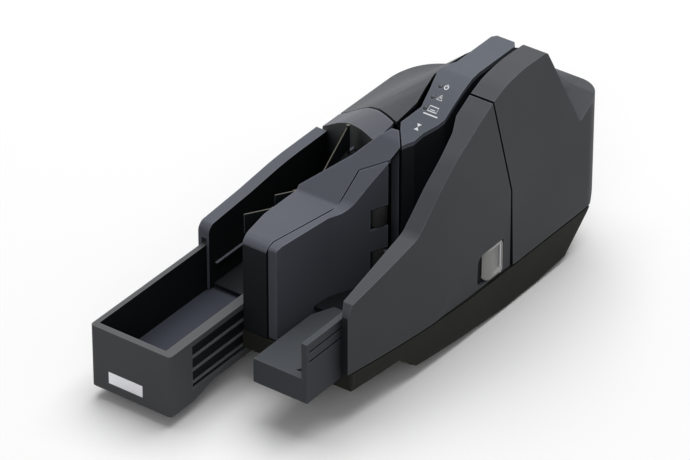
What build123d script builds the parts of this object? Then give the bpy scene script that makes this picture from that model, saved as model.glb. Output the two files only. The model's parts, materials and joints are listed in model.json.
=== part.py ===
"""Desktop cheque scanner: casings, covers, document path, drive and pocket, in millimetres.

Frame: +Z up, -Y is the operator's side (pocket tray and feeder), +X the latch side.
The origin is on the table under the middle of the machine as it stands with its tray pulled out.
Heights below are counted from the level of the tray's sole, and save() adds the height of that level
above the table, because the base's belly and the feet reach lower than the tray.
"""
import os
from math import cos, hypot, pi, sin

from build123d import *

os.makedirs("parts", exist_ok=True)

# ---------------------------------------------------------------- driving dimensions
half_width = 80.0  # the casing at its widest


def right(inset):
    """x of a point this far in from the casing's right-hand side."""
    return half_width - inset


def left(inset):
    """x of a point this far in from the casing's left-hand side."""
    return inset - half_width


rear_y = 176.0
case_front_y = -104.0  # front of the right-hand cover
base_front_y = -101.0
divider_front_y = -100.0
pocket_front_y = -60.0
tray_front_y = -176.0
front_side_x = right(7.0)  # the right-hand side draws in towards the front
wall = 2.4  # moulded casing wall
thin = 2.0  # inner guides and plates
seam = 1.2  # gap between neighbouring covers
fit = 0.3  # clearance beside sliding and turning pieces
bore_fit = 0.05  # radial clearance of a shaft in its bearing
foot_t = 1.5  # the rubber feet stand this far out of the base's lowest point
# side view of the base's underside: (y, z)
belly_line = [(-37.0, 0.9), (0.0, -2.0), (58.0, -6.6), (98.0, -6.4), (rear_y - 45.0, -3.7)]
base_z = 21.0  # top edge of the base
base_front_z = 27.4  # the base's edge climbs to this at the right-hand front
cover_z = base_z + seam + 0.2  # lower edge of the covers
floor_t = 2.5
step_z = 14.5  # the underside is raised to this at the front
step_y = -55.0
corner_right = 20.0
corner_left = 25.0
lean_y, lean_z = rear_y - 16.0, 46.0  # the lower rear leans in
plate_z = 29.0  # underside of the mechanism plate
deck_z = plate_z + 2.5
path_z = 37.5  # floor the documents stand on
path_t = 3.0
pocket_z = 16.0  # pocket floor
cap_t = 3.0  # indicator panel
divider_z = 28.0  # lower edge of the divider, on the base's middle wall
overhang_z = 49.0  # the divider overhangs the tray's right wall above this

# right-hand covers, side view: (y, z) of the upper edge, front to rear
lip_z = 73.0
right_line = [(case_front_y, lip_z), (-99.6, 80.0), (-36.0, 98.4), (-14.0, 121.7), (2.6, 136.3),
              (31.5, 154.0), (43.3, 160.5), (57.0, 166.2), (75.5, 169.3), (104.0, 168.6), (rear_y - 30.7, 95.3),
              (rear_y - 10.0, 106.0), (rear_y, 106.0)]
# seam between the two right-hand covers, side view, from the top down
cover_seam = [(43.3, 161.0), (66.4, 82.0), (68.8, base_z)]
# divider and centre column, side view of their upper edge
column_line = [(base_front_y, 90.0), (-100.0, 93.8), (-97.4, 96.7), (-93.0, 98.0), (-36.0, 98.0),
               (-14.0, 119.5), (2.6, 135.5), (31.5, 153.5), (43.3, 160.0), (54.0, 164.6), (62.0, 165.6),
               (120.0, 165.6)]

# left-hand roof: height of its crest at x = crest_x, front to rear, and along the outer left edge
crest_x = right(50.0)
roof_edge_z = 67.0
crest_line = [(-12.0, 132.0), (8.0, 141.0), (24.0, 149.0), (38.0, 156.0), (52.0, 160.6), (62.0, 161.4),
              (74.0, 160.8), (88.0, 158.4), (104.0, 153.8), (rear_y - 53.0, 146.0), (rear_y - 40.0, 138.8),
              (rear_y - 26.0, 129.0), (rear_y - 13.0, 118.0), (rear_y, 106.0)]
# roof seam and pocket edge cross the roof diagonally, plan view
roof_seam = [(-half_width, 95.0), (right(57.7), 14.6)]
pocket_edge = [(left(8.8), 69.2), (right(64.4), 2.2)]
exit_edge = (right(57.7), 12.0)
wall_line = [(pocket_front_y, 58.5), (-56.0, 62.0), (-16.0, 65.0), (24.0, 69.5), (100.0, 70.5)]

# centre column, plan view
column_front_left = [(right(48.4), 9.4), (right(51), 13.5), (right(44), 26.0), (right(46), 39.0),
                     (right(49), 52.0)]
panel_x0 = right(43.2)  # the panel narrows to this behind the lights
column_mouth = [(right(24), 24.0), (right(26), 20.0), (right(32.5), 12.0), (right(35), 6.0), (right(41.2), 1.0)]
column_x0, column_x1 = right(47.0), right(24.0)
column_turn_y = 94.5
turn_x, turn_r = right(34.25), 16.25  # outer guide of the turn

# divider, plan view: pocket side, then the seam with its feeder guide
divider_left = [(right(92.7), divider_front_y), (right(98), -70.0), (right(98), -33.0), (right(71), -10.6),
                (right(54.3), 8.2), (right(49), 8.6), (right(42), 0.2)]
guide_seam = [(right(44.6), -6.6), (right(62.6), -16.2), (right(74), -92.0), (right(74), divider_front_y)]
guide_right = [(right(67), -98.6), (right(66), -92.0), (right(62), -50.0), (right(50), -20.0),
               (right(44.8), -8.6)]
middle_x0, middle_x1 = right(92.7), right(90.3)  # the base's middle wall, beside the tray

tray_x0, tray_x1 = left(wall + fit), middle_x0 - fit
tray_rear_y = -45.0
tray_top_z = 47.0
tray_wall = 3.8
tray_right_wall = 7.0
band_x = right(13.8)  # inner face of the right-hand cover along the feeder
slot_x = right(18.0)  # outer face of the right-hand slot
extension_x0, extension_x1 = right(57.0), band_x - 0.7
extension_y = -137.0

# turning centres
hinge_x, hinge_y = right(8.3), -99.2  # right-hand cover
left_hinge_x, left_hinge_z = left(2.4), 23.0  # left-hand cover
latch_x, latch_y = right(1.8), 57.0
motor_at = (right(90), 46.0)
jack_at = (right(66), 46.0)
pick_at = (right(52.5), -10.5)
drive_at = (right(30.5), 48.0)
rear_at = (right(35.5), column_turn_y)
exit_at = (right(39.5), 24.0)
shaft_r = 2.0
pick_r, drive_r, rear_r, exit_r = 7.0, 7.0, 12.0, 6.0
pinch_r, exit_pinch_r = 6.0, 5.0
nip = 0.15  # gap between a driving roller and its follower
pulley_r = 6.0
module = 1.0
pinion_teeth, gear_teeth = 12, 36
low_band, high_band = (46.0, 60.0), (88.0, 104.0)  # heights of the rubber rings


# ---------------------------------------------------------------- helpers
table_z = min(z for y, z in belly_line) - foot_t


def save(part, name):
    part = part.moved(Location((0, 0, -table_z)))
    part.label = name
    export_step(part, f"parts/{name}.step")


def prism(points, low, high):
    """A plan outline raised from low to high."""
    with BuildPart() as body:
        with BuildSketch(Plane.XY.offset(low)):
            Polygon(*points, align=None)
        extrude(amount=high - low)
    return body.part


def side_prism(points, x0, x1):
    """A side outline (y, z) carried across from x0 to x1."""
    with BuildPart() as body:
        with BuildSketch(Plane.YZ.offset(x0)):
            Polygon(*points, align=None)
        extrude(amount=x1 - x0)
    return body.part


def block(x0, x1, y0, y1, z0, z1):
    return prism([(x0, y0), (x1, y0), (x1, y1), (x0, y1)], z0, z1)


def rod(centre, radius, low, high, bore=0.0):
    """An upright round bar, or a tube where a bore is given."""
    with BuildPart() as body:
        with BuildSketch(Plane.XY.offset(low)):
            with Locations(centre):
                Circle(radius)
                if bore:
                    Circle(bore, mode=Mode.SUBTRACT)
        extrude(amount=high - low)
    return body.part


def rod_y(x, z, radius, y0, y1, bore=0.0):
    """A round bar lying front to rear."""
    with BuildPart() as body:
        with BuildSketch(Plane.XZ.offset(-y0)):
            with Locations((x, z)):
                Circle(radius)
                if bore:
                    Circle(bore, mode=Mode.SUBTRACT)
        extrude(amount=-(y1 - y0))
    return body.part


def joined(*solids):
    with BuildPart() as body:
        for solid in solids:
            add(solid)
    return body.part


def cut(solid, *tools):
    with BuildPart() as body:
        add(solid)
        for tool in tools:
            add(tool, mode=Mode.SUBTRACT)
    return body.part


def common(solid, *tools):
    with BuildPart() as body:
        add(solid)
        for tool in tools:
            add(tool, mode=Mode.INTERSECT)
    return body.part


# ---------------------------------------------------------------- the casing's outer shapes
def plan_solid(inset=0.0):
    """Plan of the whole machine behind the tray, drawn in by the inset and raised."""
    with BuildPart() as body:
        with BuildSketch():
            with BuildLine():
                side = ThreePointArc((front_side_x, case_front_y), (right(1.9), -45.0), (half_width, 15.0))
                flank = Line(side @ 1, (half_width, rear_y - corner_right))
                RadiusArc(flank @ 1, (half_width - corner_right, rear_y), -corner_right)
                back = Line((half_width - corner_right, rear_y), (corner_left - half_width, rear_y))
                RadiusArc(back @ 1, (-half_width, rear_y - corner_left), -corner_left)
                Polyline((-half_width, rear_y - corner_left), (-half_width, case_front_y), side @ 0)
            make_face()
            if inset:
                offset(amount=-inset, kind=Kind.INTERSECTION)
        extrude(amount=200)
    return body.part


lean_foot_y, lean_foot_z = belly_line[-1]
lean = [(rear_y, lean_z), (lean_y, base_z), belly_line[-1]]


def side_solid(points, inset=0.0):
    """A side outline carried across the machine, drawn in by the inset."""
    with BuildPart() as body:
        with BuildSketch(Plane.YZ.offset(-half_width)):
            Polygon(*points, align=None)
            if inset:
                offset(amount=-inset, kind=Kind.INTERSECTION)
        extrude(amount=2 * half_width)
    return body.part


plan_full, plan_inner = (solid.moved(Location((0, 0, -30))) for solid in (plan_solid(), plan_solid(wall)))
right_side = [(case_front_y, -30.0)] + right_line + lean + [(lean_foot_y, -30.0)]
right_full = common(side_solid(right_side), plan_full)
right_inner = common(side_solid(right_side, wall), plan_inner)
left_side = [(-30.0, -30.0), (-30.0, 190.0), (rear_y, 190.0)] + lean + [(lean_foot_y, -30.0)]


def ridge(drop, x0, x1, lines):
    """Ruled solid through cross-sections: y, height at x0, height at x1."""
    with BuildPart() as body:
        for y, z0, z1 in lines:
            fall = drop * hypot(1, (z1 - z0) / (x1 - x0))
            with BuildSketch(Plane.XZ.offset(-y)):
                Polygon((x0, 0), (x0, z0 - fall), (x1, z1 - fall), (x1, 0), align=None)
        loft(ruled=True)
    return body.part


roof_x1 = panel_x0 + 0.2
reach = (roof_x1 + half_width) / (crest_x + half_width)
roof_lines = [(y, roof_edge_z, roof_edge_z + (z - roof_edge_z) * reach) for y, z in crest_line]
roof_full = common(ridge(0.0, -half_width, roof_x1, roof_lines), plan_full, side_solid(left_side))
roof_inner = common(ridge(wall, -half_width, roof_x1, roof_lines), plan_inner, side_solid(left_side, wall))

# ---------------------------------------------------------------- base
knuckle_r, pin_r = 2.2, 1.0
lugs = [(roof_seam[0][1] + 6.0, roof_seam[0][1] + 14.0), (rear_y - 40.0, rear_y - 32.0)]
lean_run = (lean_y - lean_foot_y) / (base_z - lean_foot_z)
inner_lean = lean_foot_y - wall * hypot(1, lean_run)
front_belly = [(pocket_front_y, 1.5), (-37.0, 0.9)] + belly_line[1:]
low_line = front_belly + [(lean_y, base_z)]
high_line = [(base_front_y, step_z), (step_y, step_z)] + belly_line + [(lean_y, base_z)]
high_top = [(20.0, base_z), (base_front_y, base_front_z)]
low_side = side_prism(low_line + [(pocket_front_y, base_z)], -half_width, middle_x1)
high_side = side_prism(high_line + high_top, middle_x0, half_width)
rear_inside = [(inner_lean + floor_t * lean_run, lean_foot_z + floor_t),
               (inner_lean + (base_z + 1 - lean_foot_z) * lean_run, base_z + 1)]
belly_inside = [(y, z + floor_t) for y, z in belly_line[:-1]]
low_hollow = side_prism([(pocket_front_y - 1, 1.5 + floor_t), *belly_inside, *rear_inside,
                         (pocket_front_y - 1, base_z + 1)], -half_width, middle_x0)
high_hollow = side_prism([(base_front_y + wall, step_z + floor_t), (step_y + floor_t / 2, step_z + floor_t),
                          (belly_inside[0][0] + floor_t / 2, belly_inside[0][1]), *belly_inside[1:], *rear_inside,
                          (20.0, base_z + 1), (base_front_y + wall, base_front_z + 8)], middle_x1, half_width)
rear_open = side_prism([(24.0, 0.0), *belly_inside[2:], *rear_inside, (24.0, base_z + 1)], middle_x0 - 1,
                       middle_x1 + 1)
posts = [(right(65), -15.5), (right(18), 5.0), (right(18), rear_y - 48.0), (right(82), rear_y - 48.0),
         (right(102), 60.0)]
pocket_posts = [(left(20), 57.5), (left(40), 50.0)]
board_posts = [(left(24), 88.0), (right(98), 88.0), (left(24), 128.0), (right(98), 128.0)]
board_z = 26.0
shell = common(joined(low_side, high_side), plan_full)
boss = rod((hinge_x, hinge_y), 2.4, 19.0, base_front_z)
uprights = joined(*[rod(p, 4.0, table_z, plate_z) for p in posts],
                  *[rod(p, 2.5, table_z, pocket_z - thin) for p in pocket_posts],
                  *[rod(p, 2.5, table_z, board_z) for p in board_posts], rod(jack_at, 5.0, table_z, 6.8))
over_floor = common(side_prism(low_line + [(lean_y, 60.0), (pocket_front_y, 60.0)], -half_width, half_width),
                    plan_full)
base = cut(shell, common(joined(low_hollow, high_hollow, rear_open), plan_inner))
base = joined(base, block(middle_x0, middle_x1, base_front_y, 22.0, step_z, divider_z), boss,
              common(uprights, over_floor))
base = cut(base, block(extension_x0 - 0.6, band_x, base_front_y - 1, base_front_y + wall + 1, base_z + 0.7, 40),
           rod((hinge_x, hinge_y), pin_r, step_z + 3, 40),
           *[rod(p, 1.4, 6, 40) for p in posts], rod(jack_at, shaft_r + bore_fit, -1.0, 9),
           block(left(-1), left(5.2), roof_seam[0][1] - 1, rear_y - 22.0, base_z - 0.9, 30))
for y0, y1 in lugs:
    base = joined(base, block(-half_width, left(4.6), y0, y1, base_z - 3, left_hinge_z - 1.3),
                  rod_y(left_hinge_x, left_hinge_z, knuckle_r, y0, y1))
base = cut(base, rod_y(left_hinge_x, left_hinge_z, pin_r, lugs[0][0] - 1, lugs[1][1] + 1))
save(base, "base_case")

left_hinge_pins = rod_y(left_hinge_x, left_hinge_z, pin_r - 0.02, lugs[0][0] + 0.5, lugs[1][1] - 0.5)
save(left_hinge_pins, "left_hinge_pin")
right_hinge_pin = rod((hinge_x, hinge_y), pin_r - 0.02, step_z + 3.1, 68.0)
save(right_hinge_pin, "right_hinge_pin")

feet_at = [(left(14), -48.0), (left(16), rear_y - 58.0), (right(14), -22.0), (right(16), rear_y - 58.0),
           (right(84), -20.0)]
feet = common(joined(*[rod(p, 6.0, table_z, 20.0) for p in feet_at]),
              cut(block(-half_width, half_width, -90.0, 150.0, table_z, 20.0), over_floor))
save(feet, "rubber_feet")

with BuildPart() as plate_screws:
    with BuildSketch(Plane.XY.offset(12.0)):
        with Locations(*posts):
            Circle(1.35)
    extrude(amount=deck_z - 12.0)
    with BuildSketch(Plane.XY.offset(deck_z)):
        with Locations(*posts):
            Circle(2.8)
    extrude(amount=1.6)
save(plate_screws.part, "plate_screws")

# ---------------------------------------------------------------- mechanism plate and drive
plate_plan = [(right(108), 39.6), (right(68.4), 9.0), (right(68.4), -12.0), (right(70.4), -20.0),
              (right(15.2), -20.0), (right(15.2), 26.0), (right(18.6), 30.0), (right(18.6), 66.0),
              (right(10), 72.0), (right(10), rear_y - 36.0), (right(88), rear_y - 36.0), (right(88), 68.0),
              (right(108), 68.0)]
shafts = [jack_at, pick_at, drive_at, rear_at, exit_at]
bush_r = 4.0
plate = cut(prism(plate_plan, plate_z, deck_z), *[rod(p, bush_r, 20, 40) for p in shafts],
            *[rod(p, 1.35, 20, 40) for p in posts], rod(motor_at, 3.2, 20, 40))
save(plate, "mechanism_plate")
save(joined(*[rod(p, bush_r, plate_z, deck_z + 0.8, shaft_r + bore_fit) for p in shafts]), "shaft_bushes")

motor_r, motor_top = 15.0, deck_z + 35.0
with BuildPart() as motor:
    with BuildSketch(Plane.XY.offset(deck_z)):
        with Locations(motor_at):
            Circle(motor_r)
    extrude(amount=motor_top - deck_z)
    chamfer(motor.edges().filter_by(GeomType.CIRCLE), 1.2)
    with BuildSketch(Plane.XY.offset(plate_z)):
        with Locations(motor_at):
            Circle(3.1)
    extrude(amount=deck_z - plate_z)
    with BuildSketch(Plane.XY.offset(plate_z)):
        with Locations(motor_at):
            Circle(1.55)
    extrude(amount=6.0, mode=Mode.SUBTRACT)
save(motor.part, "motor_body")


def toothed(centre, teeth, turn, low, high, bore):
    """A spur wheel with short tapered teeth; turn is the angle of its first tooth."""
    pitch = module * teeth / 2
    root, tip = pitch - 0.9, pitch + 0.6
    points = []
    for k in range(teeth):
        middle = turn + 2 * pi * k / teeth
        for radius, half in ((root, 0.85), (tip, 0.36), (tip, -0.36), (root, -0.85)):
            a = middle - half / radius
            points.append((centre[0] + radius * cos(a), centre[1] + radius * sin(a)))
    return cut(prism(points, low, high), rod(centre, bore, low - 1, high + 1))


gear_low, gear_high = 8.0, 13.0
pinion = joined(toothed(motor_at, pinion_teeth, 0.0, gear_low, gear_high, 1.0),
                rod(motor_at, 3.5, gear_high, 20.0), rod(motor_at, 1.5, gear_low, plate_z + 5.5))
save(pinion, "motor_pinion")
save(toothed(jack_at, gear_teeth, pi / gear_teeth, gear_low, gear_high, shaft_r), "drive_gear")


def shaft(centre, low, high):
    """A steel shaft with its belt pulley between two rims."""
    return joined(rod(centre, shaft_r, low, high), rod(centre, pulley_r, 15.5, 22.5),
                  rod(centre, pulley_r + 1.9, 14.4, 15.4), rod(centre, pulley_r + 1.9, 22.6, 23.6),
                  rod(centre, pulley_r, 15.3, 22.7))


shaft_z0, shaft_z1 = 8.0, 122.0  # the path's shafts reach from under the belt to the column's shelf
save(shaft(jack_at, 4.5, deck_z + 3), "drive_gear_shaft")
save(shaft(pick_at, 14.0, 110.0), "pick_shaft")
save(shaft(drive_at, shaft_z0, shaft_z1), "drive_shaft")
save(shaft(rear_at, shaft_z0, shaft_z1), "rear_shaft")
save(shaft(exit_at, shaft_z0, shaft_z1), "exit_shaft")

loop = [jack_at, pick_at, drive_at, rear_at]


def belt_loop(radius):
    """Everything inside the belt's run at a radius round the pulleys."""
    with BuildPart() as body:
        with BuildSketch(Plane.XY.offset(16.0)):
            Polygon(*loop, align=None)
            offset(amount=radius, kind=Kind.ARC)
        extrude(amount=6.0)
    return body.part


save(cut(belt_loop(pulley_r + 1.35), belt_loop(pulley_r + 0.05)), "drive_belt")


def rings(centre, radius, bands, bore):
    """Rubber rings on one hub."""
    low, high = bands[0][0], bands[-1][1]
    hub = rod(centre, bore + 1.6, low - 1, high + 1)
    return cut(joined(hub, *[rod(centre, radius, z0, z1) for z0, z1 in bands]), rod(centre, bore, 0, 200))


bands, pick_bands = [low_band, high_band], [low_band, (78.0, 92.0)]
save(rings(pick_at, pick_r, pick_bands, shaft_r), "pick_roller")
save(rings(drive_at, drive_r, bands, shaft_r), "drive_roller")
save(rings(rear_at, rear_r, bands, shaft_r), "rear_roller")
save(rings(exit_at, exit_r, bands, shaft_r), "exit_roller")

# ---------------------------------------------------------------- centre column
def column_plan(inset):
    """Plan of the centre column drawn in by the inset and raised."""
    with BuildPart() as body:
        with BuildSketch(Plane.XY.offset(deck_z)):
            with BuildLine():
                Polyline(*column_front_left, (column_x0, 64.0), (column_x0, column_turn_y))
                ThreePointArc((column_x0, column_turn_y), (rear_at[0], column_turn_y + 11.5),
                              (column_x1, column_turn_y))
                Polyline((column_x1, column_turn_y), *column_mouth, column_front_left[0])
            make_face()
            if inset:
                offset(amount=-inset, kind=Kind.INTERSECTION)
        extrude(amount=160)
    return body.part


column_solid, column_core = column_plan(0), column_plan(thin)


def under(line, drop):
    """Everything under a side line, lowered by the drop."""
    upper = [(y, z - drop) for y, z in line]
    return side_prism([(line[0][0], 0)] + upper + [(line[-1][0], 0)], left(-10.0), right(-10.0))


shelf = common(column_core, block(right(80), right(-10), 0, 120, 118.0, 120.0))
column = common(column_solid, under(column_line, cap_t))
column = joined(cut(column, column_core), shelf)
ring_gap = 1.0
windows = []
for z0, z1 in bands:
    windows += [block(column_x1 - 4, right(20), drive_at[1] - 8, drive_at[1] + 8, z0 - ring_gap, z1 + ring_gap),
                block(right(56), exit_at[0] - 1, exit_at[1] - 8, exit_at[1] + 11.5, z0 - ring_gap, z1 + ring_gap),
                block(right(50), right(20), 87.0, 110.0, z0 - ring_gap, z1 + ring_gap)]
windows += [block(right(27), right(20), 60.0, 82.0, 40.0, 116.0),  # image sensor
            block(right(27), right(20), 27.0, 38.0, 38.0, 46.0)]  # magnetic head
column = cut(column, *windows, *[rod(p, shaft_r + bore_fit, 110, 130) for p in (drive_at, rear_at, exit_at)],
             *[rod(p, bush_r + 0.2, deck_z, deck_z + 1.0) for p in shafts],
             rod(exit_at, shaft_r + 2.0, low_band[0] - 2, high_band[1] + 2),
             block(right(53), panel_x0, 58.0, 108.0, 148.0, 190.0))
save(column, "column_body")

panel_plan = prism(column_front_left + [(panel_x0, 64.0), (panel_x0, 102.6), (panel_x0 + 2.4, 106.0),
                                        (column_x1 - 3, 106.0), (column_x1, 102.0)] + column_mouth, deck_z, 190)
panel = cut(common(panel_plan, under(column_line, 0.0)), under(column_line, cap_t))
lights = [(right(40.2), 41.9), (right(40.7), 34.1), (right(41.2), 26.5)]
panel = cut(panel, *[rod(p, 1.5, 130, 180) for p in lights])
save(panel, "indicator_panel")
lenses = joined(*[rod(p, 1.45, 130, 180) for p in lights])
save(cut(common(lenses, under(column_line, -0.2)), under(column_line, cap_t)), "indicator_lenses")

sensor_z0, sensor_z1 = 40.2, 115.8
save(joined(block(right(32.5), right(24.7), 60.2, 81.8, sensor_z0, sensor_z1),
            block(right(28), right(26), 58.5, 83.5, sensor_z0 - 1.5, sensor_z1 + 1.5)), "inner_sensor")
save(block(right(24.7), column_x1, 60.2, 81.8, sensor_z0, sensor_z1), "inner_sensor_glass")
save(joined(block(right(30), column_x1, 27.2, 37.8, 38.2, 45.8), block(right(29), right(26), 26.0, 39.0, 37.0, 47.0)),
     "magnetic_head")

# ---------------------------------------------------------------- divider and feeder guide
divider_plan = divider_left + guide_seam
divider_high = common(prism(divider_plan, overhang_z, 190), under(column_line, 0.0))
low_divider_plan = [(middle_x0, divider_front_y), (middle_x0, -28.6)] + divider_left[3:] + guide_seam
divider = joined(divider_high, prism(low_divider_plan, divider_z, overhang_z))
open_right = [(right(20), 6.0), (right(20), -92.0), (right(73.5), divider_front_y + thin)]
high_core = [(right(90.6), divider_front_y + thin), (right(96), -69.7), (right(96), -34.0), (right(70.6), -12.9),
             (right(53), 6.3), (right(42), 6.3)]
low_core = [(middle_x1 - 0.4, divider_front_y + thin), (middle_x1 - 0.4, -29.2)] + high_core[3:]
divider_t = 2.6
divider = cut(divider, common(prism(high_core + open_right, overhang_z + thin, 190), under(column_line, divider_t)),
              prism(low_core + open_right, 20, overhang_z + thin + 1))
divider = cut(divider, prism(plate_plan, divider_z - 1, deck_z), block(right(69), right(20), -22.0, 20, 0, deck_z))
leaf_pin_r = 0.5
leaves = [(right(100), -58.0, 90.5), (right(100), -34.6, 91.5)]  # small leaves: pins, and the barrels' lower ends
for x, y, z in leaves:
    divider = joined(divider, block(x - 1.0, right(97.5), y - 1.0, y + 1.0, z - 2.0, z - 0.2),
                     rod((x, y), leaf_pin_r, z - 1, z + 4.6))
save(divider, "divider_cover")

guide_outer = [(right(73.4), -98.6)] + guide_right + [(right(45.8), -7.9), (right(61.9), -16.6),
                                                      (right(73.4), -92.0)]
guide = common(prism(guide_outer, deck_z - 3.5, 190), under(column_line, 0.3))
guide_core = [(right(74), -96.6), (right(68.8), -96.6), (right(68), -91.8), (right(64.1), -49.6),
              (right(51.9), -19.2), (right(47.4), -9.0), (right(50), 0.0), (right(74), -16.0)]
guide = cut(guide, common(prism(guide_core, 20, 190), under(column_line, divider_t + 0.3)))
pick_windows = [block(pick_at[0] - 2, right(35), pick_at[1] - 10, pick_at[1] + 6, z0 - ring_gap, z1 + ring_gap)
                for z0, z1 in pick_bands]
top_bearing = cut(common(prism(guide_outer, 104.0, 108.0), block(right(66), right(20), -30, 0, 0, 200),
                         under(column_line, 0.3)), rod(pick_at, shaft_r + bore_fit, 90, 120))
guide = joined(cut(guide, *pick_windows), top_bearing)
guide = cut(guide, block(right(80), right(20), -20.3, 20, 0, deck_z), rod(pick_at, shaft_r + bore_fit, 90, 120))
save(guide, "feeder_guide")

# ---------------------------------------------------------------- floors the documents stand on
feeder_plan = [(right(63.2), -64.0), (right(61.8), -50.0), (right(49.8), -20.0), (right(41.2), -1.6),
               (right(34.6), 5.6), (right(32.1), 11.6), (right(25.6), 19.6), (right(23.8), 22.8),
               (right(18.4), 22.8), (right(14.4), 17.0), (right(14.4), -64.0)]
save(joined(prism(feeder_plan, path_z - path_t, path_z),
            block(right(40), right(18), -18.0, -14.0, deck_z, path_z - 1),
            block(right(31.5), right(22.5), 4.0, 8.0, deck_z, path_z - 1)), "feeder_floor")
with BuildPart() as path_floor:
    with BuildSketch(Plane.XY.offset(path_z - path_t)):
        with BuildLine():
            Polyline((right(18.4), 23.4), (right(18.4), column_turn_y))
            ThreePointArc((right(18.4), column_turn_y), (turn_x, column_turn_y + 15.85),
                          (right(50.1), column_turn_y))
            Polyline((right(50.1), column_turn_y), (right(50.1), 64.0), (right(52.1), 52.0), (right(49.1), 39.0),
                     (right(47.1), 26.0), (right(54), 13.6), (right(51.4), 9.2), (right(48.5), 9.2),
                     (right(18.4), 23.4))
        make_face()
    extrude(amount=path_t)
with BuildPart() as slot_floor:
    add(path_floor.part)
    add(column_solid, mode=Mode.SUBTRACT)
save(cut(slot_floor.part, block(right(44), right(10), 0, 23.0, 0, 60)), "slot_floor")

with BuildPart() as turn_guide:
    with BuildSketch(Plane.XY.offset(deck_z)):
        with Locations((turn_x, column_turn_y)):
            Circle(turn_r + thin)
            Circle(turn_r, mode=Mode.SUBTRACT)
        with Locations((turn_x, column_turn_y - 20.0)):
            Rectangle(60, 40, mode=Mode.SUBTRACT)
    extrude(amount=146.0 - deck_z)
save(turn_guide.part, "turn_guide")

# ---------------------------------------------------------------- pocket wall with its plateau
edge_dx, edge_dy = pocket_edge[1][0] - pocket_edge[0][0], pocket_edge[1][1] - pocket_edge[0][1]
edge_len = hypot(edge_dx, edge_dy)
back_x, back_y = -edge_dy / edge_len, edge_dx / edge_len  # square to the pocket edge, towards the rear


def behind(point, distance):
    return (point[0] + back_x * distance, point[1] + back_y * distance)


corner = (-half_width - 5, pocket_edge[0][1] + edge_dy / edge_dx * (-half_width - 5 - pocket_edge[0][0]))
seam_slope = (roof_seam[0][1] - roof_seam[1][1]) / (roof_seam[1][0] - roof_seam[0][0])
plateau_plan = [corner, pocket_edge[1], exit_edge, roof_seam[1],
                (roof_seam[0][0] - 5, roof_seam[0][1] + 5 * seam_slope)]
plateau = common(roof_full, prism(plateau_plan, 0, 190))
inner_corner = behind((pocket_edge[1][0] - 2.5, pocket_edge[1][1] + 1.93), thin)
plateau_core = common(roof_inner, prism([behind(corner, thin), inner_corner, (right(60.6), 9.8), (right(60.6), 40.0),
                                         (left(-10), 130)], 0, 190))
outer_wall = common(block(-half_width, left(8.8), pocket_front_y, 69.3, base_z, 80), plan_full, under(wall_line, 0.0))
tray_bay = block(-half_width + wall, left(6.8), pocket_front_y - 1, 47.0, 0, 52.0)
high_bay = block(-half_width + wall, left(6.8), pocket_front_y + 3, 60.0, 0, 56.0)
outer_skirt = block(-half_width, -half_width + wall, pocket_front_y, 69.3, base_z, 30)
inner_wall = block(left(6.8), left(8.8), pocket_front_y, 69.3, 13.2, 30)
pocket_wall = joined(plateau, outer_wall, inner_wall, outer_skirt)
pocket_wall = cut(pocket_wall, plateau_core, tray_bay, high_bay)
under_pocket = [(left(-10), 46), (left(6.8), 46), (left(20), 57), (right(97), 24), (right(50), -10),
                (right(50), 60), (left(-10), 150)]
under_deck = [(right(108.4), 39.2), (right(68.4), 8.6), (right(20), 8.6), (right(20), 100), (right(108.4), 100)]
pocket_wall = cut(pocket_wall, block(-half_width - 1, left(6.7), 60, 140, 0, base_z),
                  prism(under_pocket, 0, pocket_z), block(right(92.6), right(20), -30, 60, 0, deck_z),
                  block(left(8), right(92), 0, 120, 0, pocket_z), prism(under_deck, 0, deck_z))
rail = block(left(8.7), left(10.6), -54.0, 40.0, 29.0, 31.0)
leaf_at = (right(100), 23.2)
leaf_lug = joined(block(leaf_at[0] - 1, leaf_at[0] + 1, leaf_at[1], 31.2, 95.0, 96.8),
                  rod(leaf_at, 1.2, 95.0, 96.8), rod(leaf_at, leaf_pin_r, 96.0, 112.0))
pocket_wall = joined(pocket_wall, rail, leaf_lug)
save(pocket_wall, "pocket_wall")

floor_plan = [(left(8.8), -56.0), (right(100.5), -56.0), (right(100.5), 29.6), behind((right(100.5), 30.0), thin),
              behind((left(8.8), 69.2), thin), (left(8.8), 69.2)]
save(prism(floor_plan, pocket_z - thin, pocket_z), "pocket_floor")

# ---------------------------------------------------------------- pocket tray
tray_side = [(tray_front_y, 0.4), (-153.0, 0.4), (-132.0, 5.8), (tray_rear_y, 5.8), (tray_rear_y, tray_top_z),
             (tray_front_y, tray_top_z)]
tray = side_prism(tray_side, tray_x0, tray_x1)
with BuildPart() as tray_shape:
    add(tray)
    fillet(tray_shape.edges().filter_by(Axis.Z).group_by(Axis.Y)[0], 2.5)
tray = cut(tray_shape.part, block(tray_x0 + tray_wall, tray_x1 - tray_right_wall, tray_front_y + 5, 0, 12.5, 60),
           block(tray_x1 - tray_right_wall - 1, tray_x1 + 1, -66.0, 0, 12.5, 60),
           block(tray_x0 - 1, tray_x0 + tray_wall + 0.1, tray_rear_y - 1, 0, 0, 4),
           block(tray_x0 + 2.5, tray_x1 - 2.5, tray_front_y + 2.5, -135.0, -1, 8.0),
           block(tray_x0 + tray_wall, tray_x1 - 2.5, -132.0, 0, 0, 10.5))
louvres = [(10.7, 14.1), (15.5, 23.4), (24.8, 33.3), (34.7, 42.7)]
tray = cut(tray, *[block(tray_x1 - 1.6, tray_x1 + 1, -153.0, -70.0, z0, z1) for z0, z1 in louvres],
           block(left(16.4), left(44.2), tray_front_y - 1, tray_front_y + 0.6, 6.8, 15.9))
save(tray, "pocket_tray")
save(block(left(16.6), left(44), tray_front_y + 0.1, tray_front_y + 0.6, 7.0, 15.7), "label_plate")

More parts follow.
